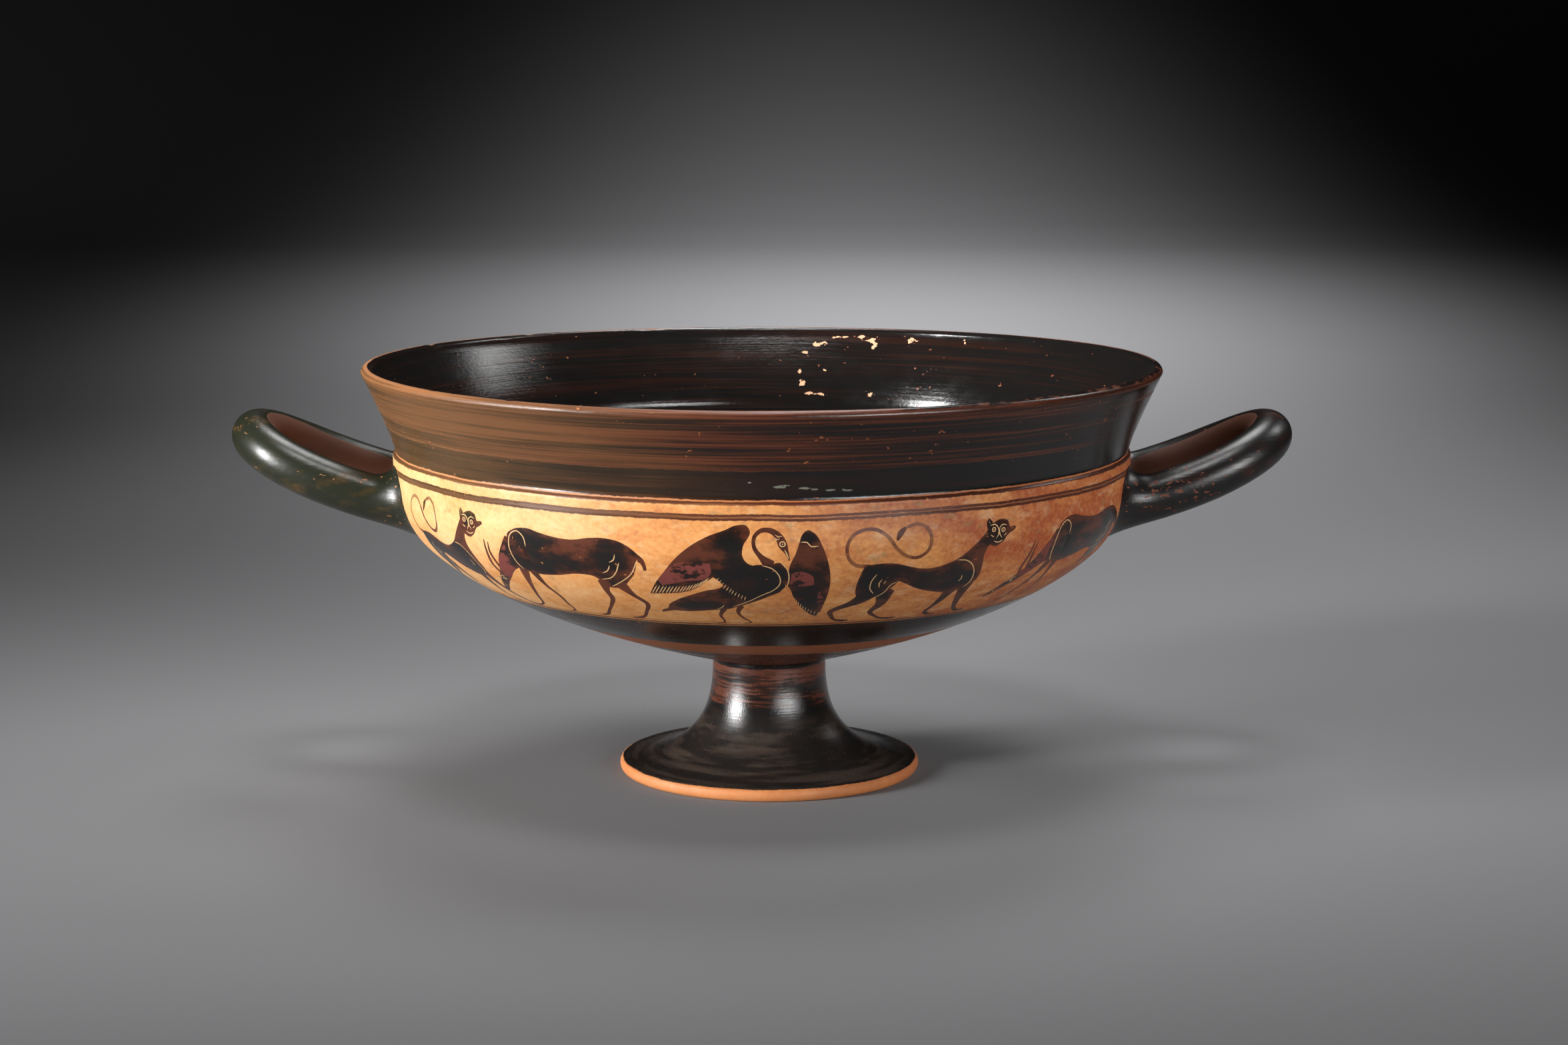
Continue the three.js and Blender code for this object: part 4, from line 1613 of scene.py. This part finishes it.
    def noises(self, tree: NodeTree, wheel: Any) -> dict[str, Any]:
        """Every uneven pattern, each drawn out round the cup as its grain says.

        Args:
            tree: the material's tree.
            wheel: the place on the drum.

        Returns:
            Each pattern by its name.
        """
        found = {}
        for name, (around, up, detail) in self.grains.items():
            size = add(tree, VECTOR_MATH, [wheel, (1 / around, 1 / around, 1 / up)], operation="MULTIPLY")
            found[name] = add(tree, "ShaderNodeTexNoise", {
                "Vector": size, "Scale": 1.0, "Detail": detail, "Roughness": 0.58})
        return found

    def bands(self, section: TurnedSection) -> list[Stripe]:
        """Every stripe of slip, from the foot up the outside and down the inside.

        Args:
            section: the cup's section.

        Returns:
            The stripes.
        """
        foot_start, foot_end = section.span("foot")
        _, lip_end = section.span("lip")
        _, rim_end = section.span("rim")
        _, floor = section.span("inside")

        def bowl(z: float) -> float:
            """Where the bowl's outside reaches a height."""
            return section.at_height("bowl", z)

        lip_middle = section.at_height("lip", 115.0)
        return [
            Stripe(foot_start - 0.3, foot_end - 14.0, 1.0, streaks=0.22),
            Stripe(foot_end - 18.0, foot_end - 1.0, 0.96, streaks=0.46, softness=5.0),
            Stripe(foot_end - 1.4, foot_end + 0.9, 1.0, streaks=0.1),
            # the wash under the bowl is laid thick enough to fire dark brown, which also paints the shade there
            Stripe(foot_end, bowl(48.0), 0.66, streaks=0.25),
            Stripe(bowl(47.9), bowl(48.5), 0.8),
            Stripe(bowl(54.4), bowl(65.0), 0.95, streaks=0.35),
            Stripe(bowl(65.3), bowl(65.8), 0.42),
            Stripe(0.6, 0.95, 0.30),
            Stripe(44.5, 45.3, 0.52, left=0.62, streaks=0.5),
            Stripe(45.2, 45.7, 0.16, left=0.6, streaks=0.6),
            Stripe(45.6, 46.35, 0.50, left=0.62, streaks=0.5),
            Stripe(bowl(104.8), bowl(105.6) + 0.1, 0.58, left=0.45, streaks=0.5),
            Stripe(section.at_height("lip", 106.3), lip_middle, 0.98, left=0.64, streaks=0.2),
            Stripe(lip_middle - 1.0, lip_end + 2.1, 0.95, left=0.58, streaks=0.5, softness=2.5),
            Stripe(rim_end - 2.5, floor + 1.0, 1.0, streaks=0.3),
        ]

    def flakes(self, section: TurnedSection) -> list[Mark]:
        """Where the slip has flaked off the inside of the far wall.

        Args:
            section: the cup's section.

        Returns:
            The marks.
        """
        spots = ((333.2, 127.6, 1.5, 0.9), (326.6, 129.6, 1.7, 0.6), (320.2, 129.9, 1.8, 0.5),
                 (316.5, 128.9, 2.2, 0.8), (314.8, 126.9, 0.8, 1.2), (301.7, 129.0, 1.2, 0.7),
                 (282.7, 129.2, 0.7, 0.9), (337.7, 124.1, 0.8, 0.6), (338.3, 113.9, 1.0, 1.1),
                 (330.7, 118.2, 0.5, 0.4), (336.0, 110.2, 0.9, 0.5), (331.6, 110.0, 1.7, 0.5),
                 (313.3, 110.1, 0.9, 0.6), (339.5, 118.0, 0.5, 0.6))
        return [Mark(u, section.at_height("lip_inside", z), *half) for u, z, *half in spots]

    def scratches(self, section: TurnedSection) -> list[Mark]:
        """Pale scratches low on the lip, near the middle of the front.

        Args:
            section: the cup's section.

        Returns:
            The marks.
        """
        spots = ((5.0, 110.2, 1.6, 0.22), (7.6, 110.6, 0.9, 0.2), (12.4, 109.7, 1.3, 0.25), (14.8, 109.3, 0.8, 0.2),
                 (20.4, 109.0, 1.8, 0.2), (24.0, 108.8, 1.0, 0.22), (-2.5, 111.5, 0.5, 0.25))
        return [Mark(u, section.at_height("lip", z), *half) for u, z, *half in spots]

    def marks(self, tree: NodeTree, wheel: Any, noise: Any, spots: list[Mark]) -> Any:
        """A mask of small marks with ragged edges.

        Args:
            tree: the material's tree.
            wheel: the place on the drum.
            noise: the pattern that frays the edges.
            spots: the marks.

        Returns:
            A socket that is one on the marks.
        """
        nearest = None
        for spot in spots:
            turn = spot.u / DRUM
            centre = (DRUM * math.sin(turn), -DRUM * math.cos(turn), spot.along)
            off = add(tree, VECTOR_MATH, [wheel, centre], operation="SUBTRACT")
            scaled = add(tree, VECTOR_MATH, [
                off, (1 / spot.half_round, 1 / spot.half_round, 1 / spot.half_up)], operation="MULTIPLY")
            far = add(tree, VECTOR_MATH, [scaled], operation="LENGTH").outputs["Value"]
            nearest = far if nearest is None else add(tree, MATH, [nearest, far], operation="MINIMUM")
        frayed = add(tree, MAP_RANGE, [noise, 0.3, 0.7, -1.2, 1.2])
        edge = add(tree, MATH, [nearest, frayed])
        return add(tree, MAP_RANGE, [edge, 1.1, 0.9])

    def stripes(self, tree: NodeTree, section: TurnedSection, along: Any, wheel: Any, across: Any,
                kiln: Any, noise: dict[str, Any]) -> Any:
        """The stripes' thickness of slip.

        Args:
            tree: the material's tree.
            section: the cup's section.
            along: the place along it.
            wheel: the place on the drum.
            across: the place along X, in millimetres.
            kiln: how hot the kiln was, from nought towards -X to one.
            noise: the uneven patterns.

        Returns:
            A socket with the thickness.
        """
        shift = add(tree, MAP_RANGE, {0: noise["wander"], 3: -0.8, 4: 0.8})
        frayed = add(tree, MAP_RANGE, {0: noise["dust"], 3: -0.35, 4: 0.35})
        steady = add(tree, MATH, [along, shift])
        moved = add(tree, MATH, [steady, frayed])
        lines = add(tree, MATH, [noise["streak"], noise["swath"]])
        full = add(tree, MAP_RANGE, {0: across, 1: 15.0, 2: 85.0, 4: 0.12})
        lines = add(tree, MINUS, [lines, full])
        total = add(tree, "ShaderNodeValue")
        for band in self.bands(section):
            left = band.thickness if band.left is None else band.left
            laid = add(tree, MAP_RANGE, {0: kiln, 3: left, 4: band.thickness})
            combed = add(tree, MAP_RANGE, [lines, 0.82, 1.16, 1.0, 1 - band.streaks])
            rising = add(tree, MAP_RANGE, [moved, band.start - band.softness, band.start + band.softness])
            falling = add(tree, MAP_RANGE, [moved, band.end - band.softness, band.end + band.softness, 1.0, 0.0])
            within = add(tree, MATH, [rising, falling], operation="MINIMUM")
            thick = add(tree, TIMES, [laid, combed])
            here = add(tree, TIMES, [thick, within])
            total = add(tree, LARGER, [total, here])
        return add(tree, LARGER, [total, self.rim_run(tree, section, moved, wheel, noise)])

    def rim_run(self, tree: NodeTree, section: TurnedSection, moved: Any, wheel: Any,
                noise: dict[str, Any]) -> Any:
        """Slip that ran over the rim on the near right side.

        Args:
            tree: the material's tree.
            section: the cup's section.
            moved: the unsteady place along it.
            wheel: the place on the drum.
            noise: the uneven patterns.

        Returns:
            The slip's thickness there.
        """
        _, lip_end = section.span("lip")
        toward = add(tree, VECTOR_MATH, [wheel, (0.82, -0.57, 0.0)], operation="DOT_PRODUCT")
        near = add(tree, MAP_RANGE, {0: toward.outputs["Value"], 1: 72.0, 2: 90.0, 4: 0.85})
        above = add(tree, MAP_RANGE, [moved, lip_end + 0.9, lip_end + 1.4])
        thin = add(tree, MAP_RANGE, [noise["worn"], 0.45, 0.6, 1.0, 0.55])
        here = add(tree, TIMES, [near, above])
        return add(tree, TIMES, [here, thin])

    def figures(self, tree: NodeTree, slip: Any, wash: Any, depth: Any, noise: dict[str, Any]) -> Any:
        """The animals' thickness of slip: thin at the outline, thicker where the brush filled in.

        Args:
            tree: the material's tree.
            slip: one on the animals.
            wash: how thinly a patch was painted.
            depth: how far inside a figure the place is.
            noise: the uneven patterns.

        Returns:
            The slip's thickness there.
        """
        uneven = add(tree, MAP_RANGE, [noise["brush"], 0.3, 0.7, -3.0, 2.6])
        fine = add(tree, MAP_RANGE, [noise["dust"], 0.3, 0.7, -0.5, 0.5])
        mottled = add(tree, MATH, [uneven, fine])
        deep = add(tree, MATH, [depth, mottled])
        filled = add(tree, MAP_RANGE, [deep, -0.8, 4.6, 0.46, 0.97])
        thin = add(tree, MAP_RANGE, {0: wash, 3: 1.0, 4: 0.5})
        laid = add(tree, TIMES, [filled, thin])
        return add(tree, TIMES, [laid, slip])

    def wear(self, tree: NodeTree, thickness: Any, rubbed: Any, flakes: Any,
             noise: dict[str, Any]) -> Any:
        """The slip that two and a half thousand years of handling left, most worn on the handles.

        Args:
            tree: the material's tree.
            thickness: of the slip as it was fired.
            rubbed: how much hands rubbed the place.
            flakes: one on the flakes.
            noise: the uneven patterns.

        Returns:
            The thickness that is left.
        """
        spots = add(tree, MATH, [noise["speck"], rubbed])
        broad = add(tree, MAP_RANGE, [noise["cloud"], 0.35, 0.7, -0.07, 0.06])
        spread = add(tree, MATH, [spots, broad])
        whole = add(tree, MAP_RANGE, [spread, 0.69, 0.73, 1.0, 0.2])
        kept = add(tree, TIMES, [thickness, whole])
        sound = add(tree, MINUS, [1.0, flakes])
        return add(tree, TIMES, [kept, sound])

    def clay(self, tree: NodeTree, across: Any, along: Any, bare: Any, handle: Any, flakes: Any,
             noise: dict[str, Any]) -> Any:
        """The clay's colour, paler and yellower towards -X, with cream patches, stains, pits and painted shade under
        the bowl.

        Args:
            tree: the material's tree.
            across: the place along X, in millimetres.
            along: the place along the section.
            bare: one on the handles' unpainted faces.
            handle: one on the handles.
            flakes: one on the flakes.
            noise: the uneven patterns.

        Returns:
            The colour.
        """
        side = add(tree, MAP_RANGE, [across, -120.0, 120.0, -0.28, 0.62])
        cloudy = add(tree, MAP_RANGE, [noise["cloud"], 0.3, 0.7, 0.18, 0.64])
        grainy = add(tree, MAP_RANGE, [noise["dust"], 0.3, 0.7, -0.14, 0.14])
        mixed = add(tree, MATH, [side, cloudy])
        amount = add(tree, MATH, [mixed, grainy])
        ramp = add(tree, "ShaderNodeValToRGB", [amount])
        stops = ramp.color_ramp.elements
        stops[0].color, stops[1].color = linear(self.clay_pale), linear(self.clay_red)
        stops.new(0.5).color = linear(self.clay_warm)
        cream = add(tree, MAP_RANGE, {0: noise["cream"], 1: 0.52, 2: 0.70, 4: 0.34})
        stain = add(tree, MAP_RANGE, {0: noise["worn"], 1: 0.60, 2: 0.68, 4: 0.4})
        pits = add(tree, MAP_RANGE, {0: noise["speck"], 1: 0.24, 2: 0.20, 4: 0.8})
        # Off the painted band the clay is darker and more orange: its own tone on the rim and the foot's edge, and
        # painted shade under the bowl.
        off_band = add(tree, MATH, [along, 22.0, 28.0], operation="COMPARE")
        shaded = add(tree, MAP_RANGE, {0: off_band, 3: 0.7, 4: 0.0})
        # painted shade on the unpainted stripe under the bowl
        below = add(tree, MATH, [along, -36.0, 10.0], operation="COMPARE")
        underside_shade = add(tree, TIMES, [below, 0.75])
        handled = add(tree, TIMES, [handle, 0.55])
        colour = ramp
        layers = ((cream, self.clay_cream), (stain, self.clay_stain), (shaded, self.clay_shaded),
                  (underside_shade, self.clay_under_shade), (pits, self.pit), (handled, self.bare_clay), (bare, self.bare_clay),
                  (flakes, self.flake))
        for share, tint in layers:
            colour = add(tree, MIX, {0: share, 6: colour, 7: linear(tint)}, data_type="RGBA").outputs[2]
        return colour

    def slip(self, tree: NodeTree, ground: Any, thickness: Any, kiln: Any) -> Any:
        """The ground seen through slip of some thickness: brown where thin, olive towards -X, else black.

        Args:
            tree: the material's tree.
            ground: the clay's colour.
            thickness: of the slip.
            kiln: nought where the slip fired olive, one where it fired black.

        Returns:
            The colour.
        """
        steps = ((0.02, 0.30, self.slip_thin_left, self.slip_thin),
                 (0.36, 0.70, self.slip_brown_left, self.slip_brown),
                 (0.62, 0.88, self.slip_black_left, self.slip_black))
        colour = ground
        for low, high, cool, hot in steps:
            tint = add(tree, MIX, {0: kiln, 6: linear(cool), 7: linear(hot)}, data_type="RGBA")
            share = add(tree, MAP_RANGE, [thickness, low, high])
            colour = add(tree, MIX, {0: share, 6: colour, 7: tint.outputs[2]}, data_type="RGBA").outputs[2]
        return colour

    def red(self, tree: NodeTree, colour: Any, share: Any, noise: dict[str, Any]) -> tuple[Any, Any]:
        """The added red, flaked off in places down to the slip.

        Args:
            tree: the material's tree.
            colour: what lies below it.
            share: one where red was painted.
            noise: the uneven patterns.

        Returns:
            The colour, and the share of red that is left.
        """
        left = add(tree, MAP_RANGE, {0: noise["worn"], 1: 0.57, 2: 0.52, 4: 0.88})
        worn = add(tree, TIMES, [left, share])
        mixed = add(tree, MIX, {0: worn, 6: colour, 7: linear(self.added_red)}, data_type="RGBA")
        return mixed.outputs[2], worn

    def roughness(self, tree: NodeTree, thickness: Any, flare: Any, handle: Any, red: Any, cut: Any,
                  noise: dict[str, Any]) -> Any:
        """Satin clay, glossy slip, matt red and dry cut lines.

        Args:
            tree: the material's tree.
            thickness: of the slip.
            flare: one on the flat of the foot.
            handle: one on the handles.
            red: the share of red.
            cut: one on cut lines.
            noise: the uneven patterns.

        Returns:
            The roughness.
        """
        base = add(tree, MAP_RANGE, [thickness, 0.1, 0.75, self.clay_roughness, self.slip_roughness])
        rubbed = add(tree, MAP_RANGE, [noise["brush"], 0.3, 0.7, -0.03, 0.07])
        uneven = add(tree, MATH, [base, rubbed])
        worn = add(tree, TIMES, [flare, self.dust_and_sheen])
        held = add(tree, MATH, [handle, self.handled, worn], operation="MULTIPLY_ADD")
        gloss = add(tree, MATH, [uneven, held])
        matt = add(tree, LARGER, [red, cut])
        return add(tree, MIX, {0: matt, 2: gloss, 3: self.matt})

    def relief(self, tree: NodeTree, painted: Any, from_axis: Any, noise: dict[str, Any]) -> Any:
        """Fine marks of the wheel and the brush, the animals' slip and the clay's grain.

        Args:
            tree: the material's tree.
            painted: one on the animals.
            from_axis: the distance from the axis, in metres.
            noise: the uneven patterns.

        Returns:
            The bumped normal.
        """
        turned = add(tree, MATH, [noise["streak"], noise["dust"]])
        raised = add(tree, TIMES, [painted, self.slip_relief])
        total = add(tree, MATH, [turned, raised])
        # the marks close up to a point at the axis, so they fade out before it
        strength = add(tree, MAP_RANGE, {0: from_axis, 1: 2 * MM, 2: 18 * MM, 4: self.relief_strength})
        return add(tree, "ShaderNodeBump", {"Height": total, "Strength": strength, "Distance": self.relief_depth * MM})


@dataclass
class Cup:
    """The whole cup: wall, painted band and handles on one closed mesh."""

    sizes: CupSizes
    firing: WheelAndKiln = field(default_factory=WheelAndKiln)
    finish: PaintedClay = field(default_factory=PaintedClay)

    def build(self) -> bpy.types.Object:
        """Builds, throws and dresses the cup.

        Returns:
            The finished piece.
        """
        section = TurnedSection(self.sizes)
        wall = Wall(section)
        handles = Handles(self.sizes, wall)
        frieze = Frieze(wall, handles)
        blank = Blank()
        low, high, roots = frieze.build(blank)
        wall.build(blank, low, high, frieze.low, frieze.high)
        handles.build(blank, roots)
        piece = self.firing.apply(blank.to_object("cup_painted"), self.sizes, self.finish.material(section))
        LOG.info("cup: %d points, %d faces", len(piece.data.vertices), len(piece.data.polygons))
        return piece


@dataclass(frozen=True)
class SoftBox:
    """A soft light, aimed at the cup. Sizes and places are metres."""

    name: str
    azimuth: float  # degrees from the camera's side, towards +X
    elevation: float  # degrees above the table
    distance: float
    width: float
    tall: float
    power: float
    aim: tuple[float, float, float] = (0.0, 0.0, 0.08)
    spread: float = 75.0  # degrees, kept narrow by a grid in front of the box

    def build(self) -> None:
        """Adds the light."""
        light = bpy.data.lights.new(self.name, "AREA")
        light.spread = math.radians(self.spread)
        light.shape = "RECTANGLE"
        light.size, light.size_y, light.energy = self.width, self.tall, self.power
        turn, up = math.radians(self.azimuth), math.radians(self.elevation)
        away = Vector((math.sin(turn) * math.cos(up), -math.cos(turn) * math.cos(up), math.sin(up)))
        lamp = bpy.data.objects.new(self.name, light)
        lamp.location = Vector(self.aim) + away * self.distance
        lamp.rotation_euler = (-away).to_track_quat("-Z", "Y").to_euler()
        bpy.context.scene.collection.objects.link(lamp)


@dataclass(frozen=True)
class PoolLight:
    """A spot behind the cup that lights a long, narrow pool on the paper. Places are metres."""

    name: str
    power: float
    place: tuple[float, float, float]
    aim: tuple[float, float, float]
    cone: float  # degrees, along the pool
    narrow: float  # its width over its length
    radius: float = 0.3

    def build(self) -> None:
        """Adds the light."""
        light = bpy.data.lights.new(self.name, "SPOT")
        light.energy, light.shadow_soft_size = self.power, self.radius
        light.spot_size, light.spot_blend = math.radians(self.cone), 1.0
        lamp = bpy.data.objects.new(self.name, light)
        lamp.location = self.place
        lamp.rotation_euler = (Vector(self.aim) - Vector(self.place)).to_track_quat("-Z", "Y").to_euler()
        lamp.scale = (self.narrow, 1.0, 1.0)
        bpy.context.scene.collection.objects.link(lamp)


@dataclass(frozen=True)
class Studio:
    """Camera, lights and the pale paper sweep. Sizes and places are metres."""

    camera_place: tuple[float, float, float] = (0.00704, -0.9434, 0.2325)
    camera_pitch: float = 9.126  # degrees below the horizon
    lens: float = 67.6  # on a sensor 36 wide, in millimetres
    floor_half: float = 5.0
    wall_start: float = 2.6
    sweep_radius: float = 2.5
    paper: str = "#757577"
    air: str = "#8f8f92"
    air_strength: float = 0.02
    lights: tuple[SoftBox | PoolLight, ...] = (
        SoftBox("key", azimuth=-66, elevation=14, distance=1.25, width=0.3, tall=0.75, power=2.3, spread=38),
        SoftBox("fill", azimuth=36, elevation=11, distance=1.6, width=1.9, tall=0.5, power=2.9, spread=46),
        SoftBox("side", azimuth=117, elevation=40, distance=1.5, width=0.42, tall=0.85, power=0.21, spread=30),
        SoftBox("front", azimuth=-8, elevation=77, distance=1.3, width=0.5, tall=0.3, power=0.26, spread=30),
        PoolLight("glow", 250, place=(0.1, 1.3, 1.5), aim=(0.1, 1.75, 0.0), cone=116, narrow=0.26),
        PoolLight("pool", 135, place=(0.12, 0.75, 1.25), aim=(0.06, 0.22, 0.0), cone=50, narrow=0.62, radius=0.6),
    )

    def build(self) -> None:
        """Adds the camera, the lights and the floor."""
        self.camera()
        for light in self.lights:
            light.build()
        self.floor()
        world = bpy.data.worlds.new("studio_air")
        world.use_nodes = True
        background = world.node_tree.nodes["Background"]
        background.inputs["Color"].default_value = linear(self.air)
        background.inputs["Strength"].default_value = self.air_strength
        bpy.context.scene.world = world
        bpy.context.scene.view_settings.view_transform = "Standard"

    def camera(self) -> None:
        """Adds the camera where the photograph was taken from."""
        data = bpy.data.cameras.new("camera")
        data.lens, data.sensor_width = self.lens, 36.0
        camera = bpy.data.objects.new("camera", data)
        camera.location = self.camera_place
        camera.rotation_euler = (math.radians(90 - self.camera_pitch), 0, 0)
        bpy.context.scene.collection.objects.link(camera)
        bpy.context.scene.camera = camera

    def floor(self) -> None:
        """Adds the paper, flat under the cup and curving up far behind it."""
        rows = [(-self.floor_half, 0.0), (self.wall_start, 0.0)]
        for turn in np.linspace(0, math.pi / 2, 17)[1:]:
            rows.append((self.wall_start + self.sweep_radius * math.sin(turn),
                         self.sweep_radius * (1 - math.cos(turn))))
        rows.append((self.wall_start + self.sweep_radius, self.floor_half))
        corners = [(x, y, z) for y, z in rows for x in (-self.floor_half, self.floor_half)]
        faces = [(2 * k, 2 * k + 1, 2 * k + 3, 2 * k + 2) for k in range(len(rows) - 1)]
        mesh = bpy.data.meshes.new("paper_sweep")
        mesh.from_pydata(corners, [], faces)
        mesh.shade_smooth()
        paper = bpy.data.objects.new("paper_sweep", mesh)
        bpy.context.scene.collection.objects.link(paper)
        material = bpy.data.materials.new("matt_backdrop_paper")
        material.use_nodes = True
        shader = material.node_tree.nodes["Principled BSDF"]
        shader.inputs["Base Color"].default_value = linear(self.paper)
        shader.inputs["Roughness"].default_value = 0.9
        mesh.materials.append(material)


def main() -> None:
    """Builds the cup and the studio and hands the cup over to the frame."""
    logging.basicConfig(level=logging.INFO, format="%(name)s %(message)s")
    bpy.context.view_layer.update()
    cup = Cup(CupSizes.from_frame()).build()
    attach(cup, BODY)
    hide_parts(NODE)
    Studio().build()
    bpy.context.view_layer.update()


if __name__ == "__main__":
    main()
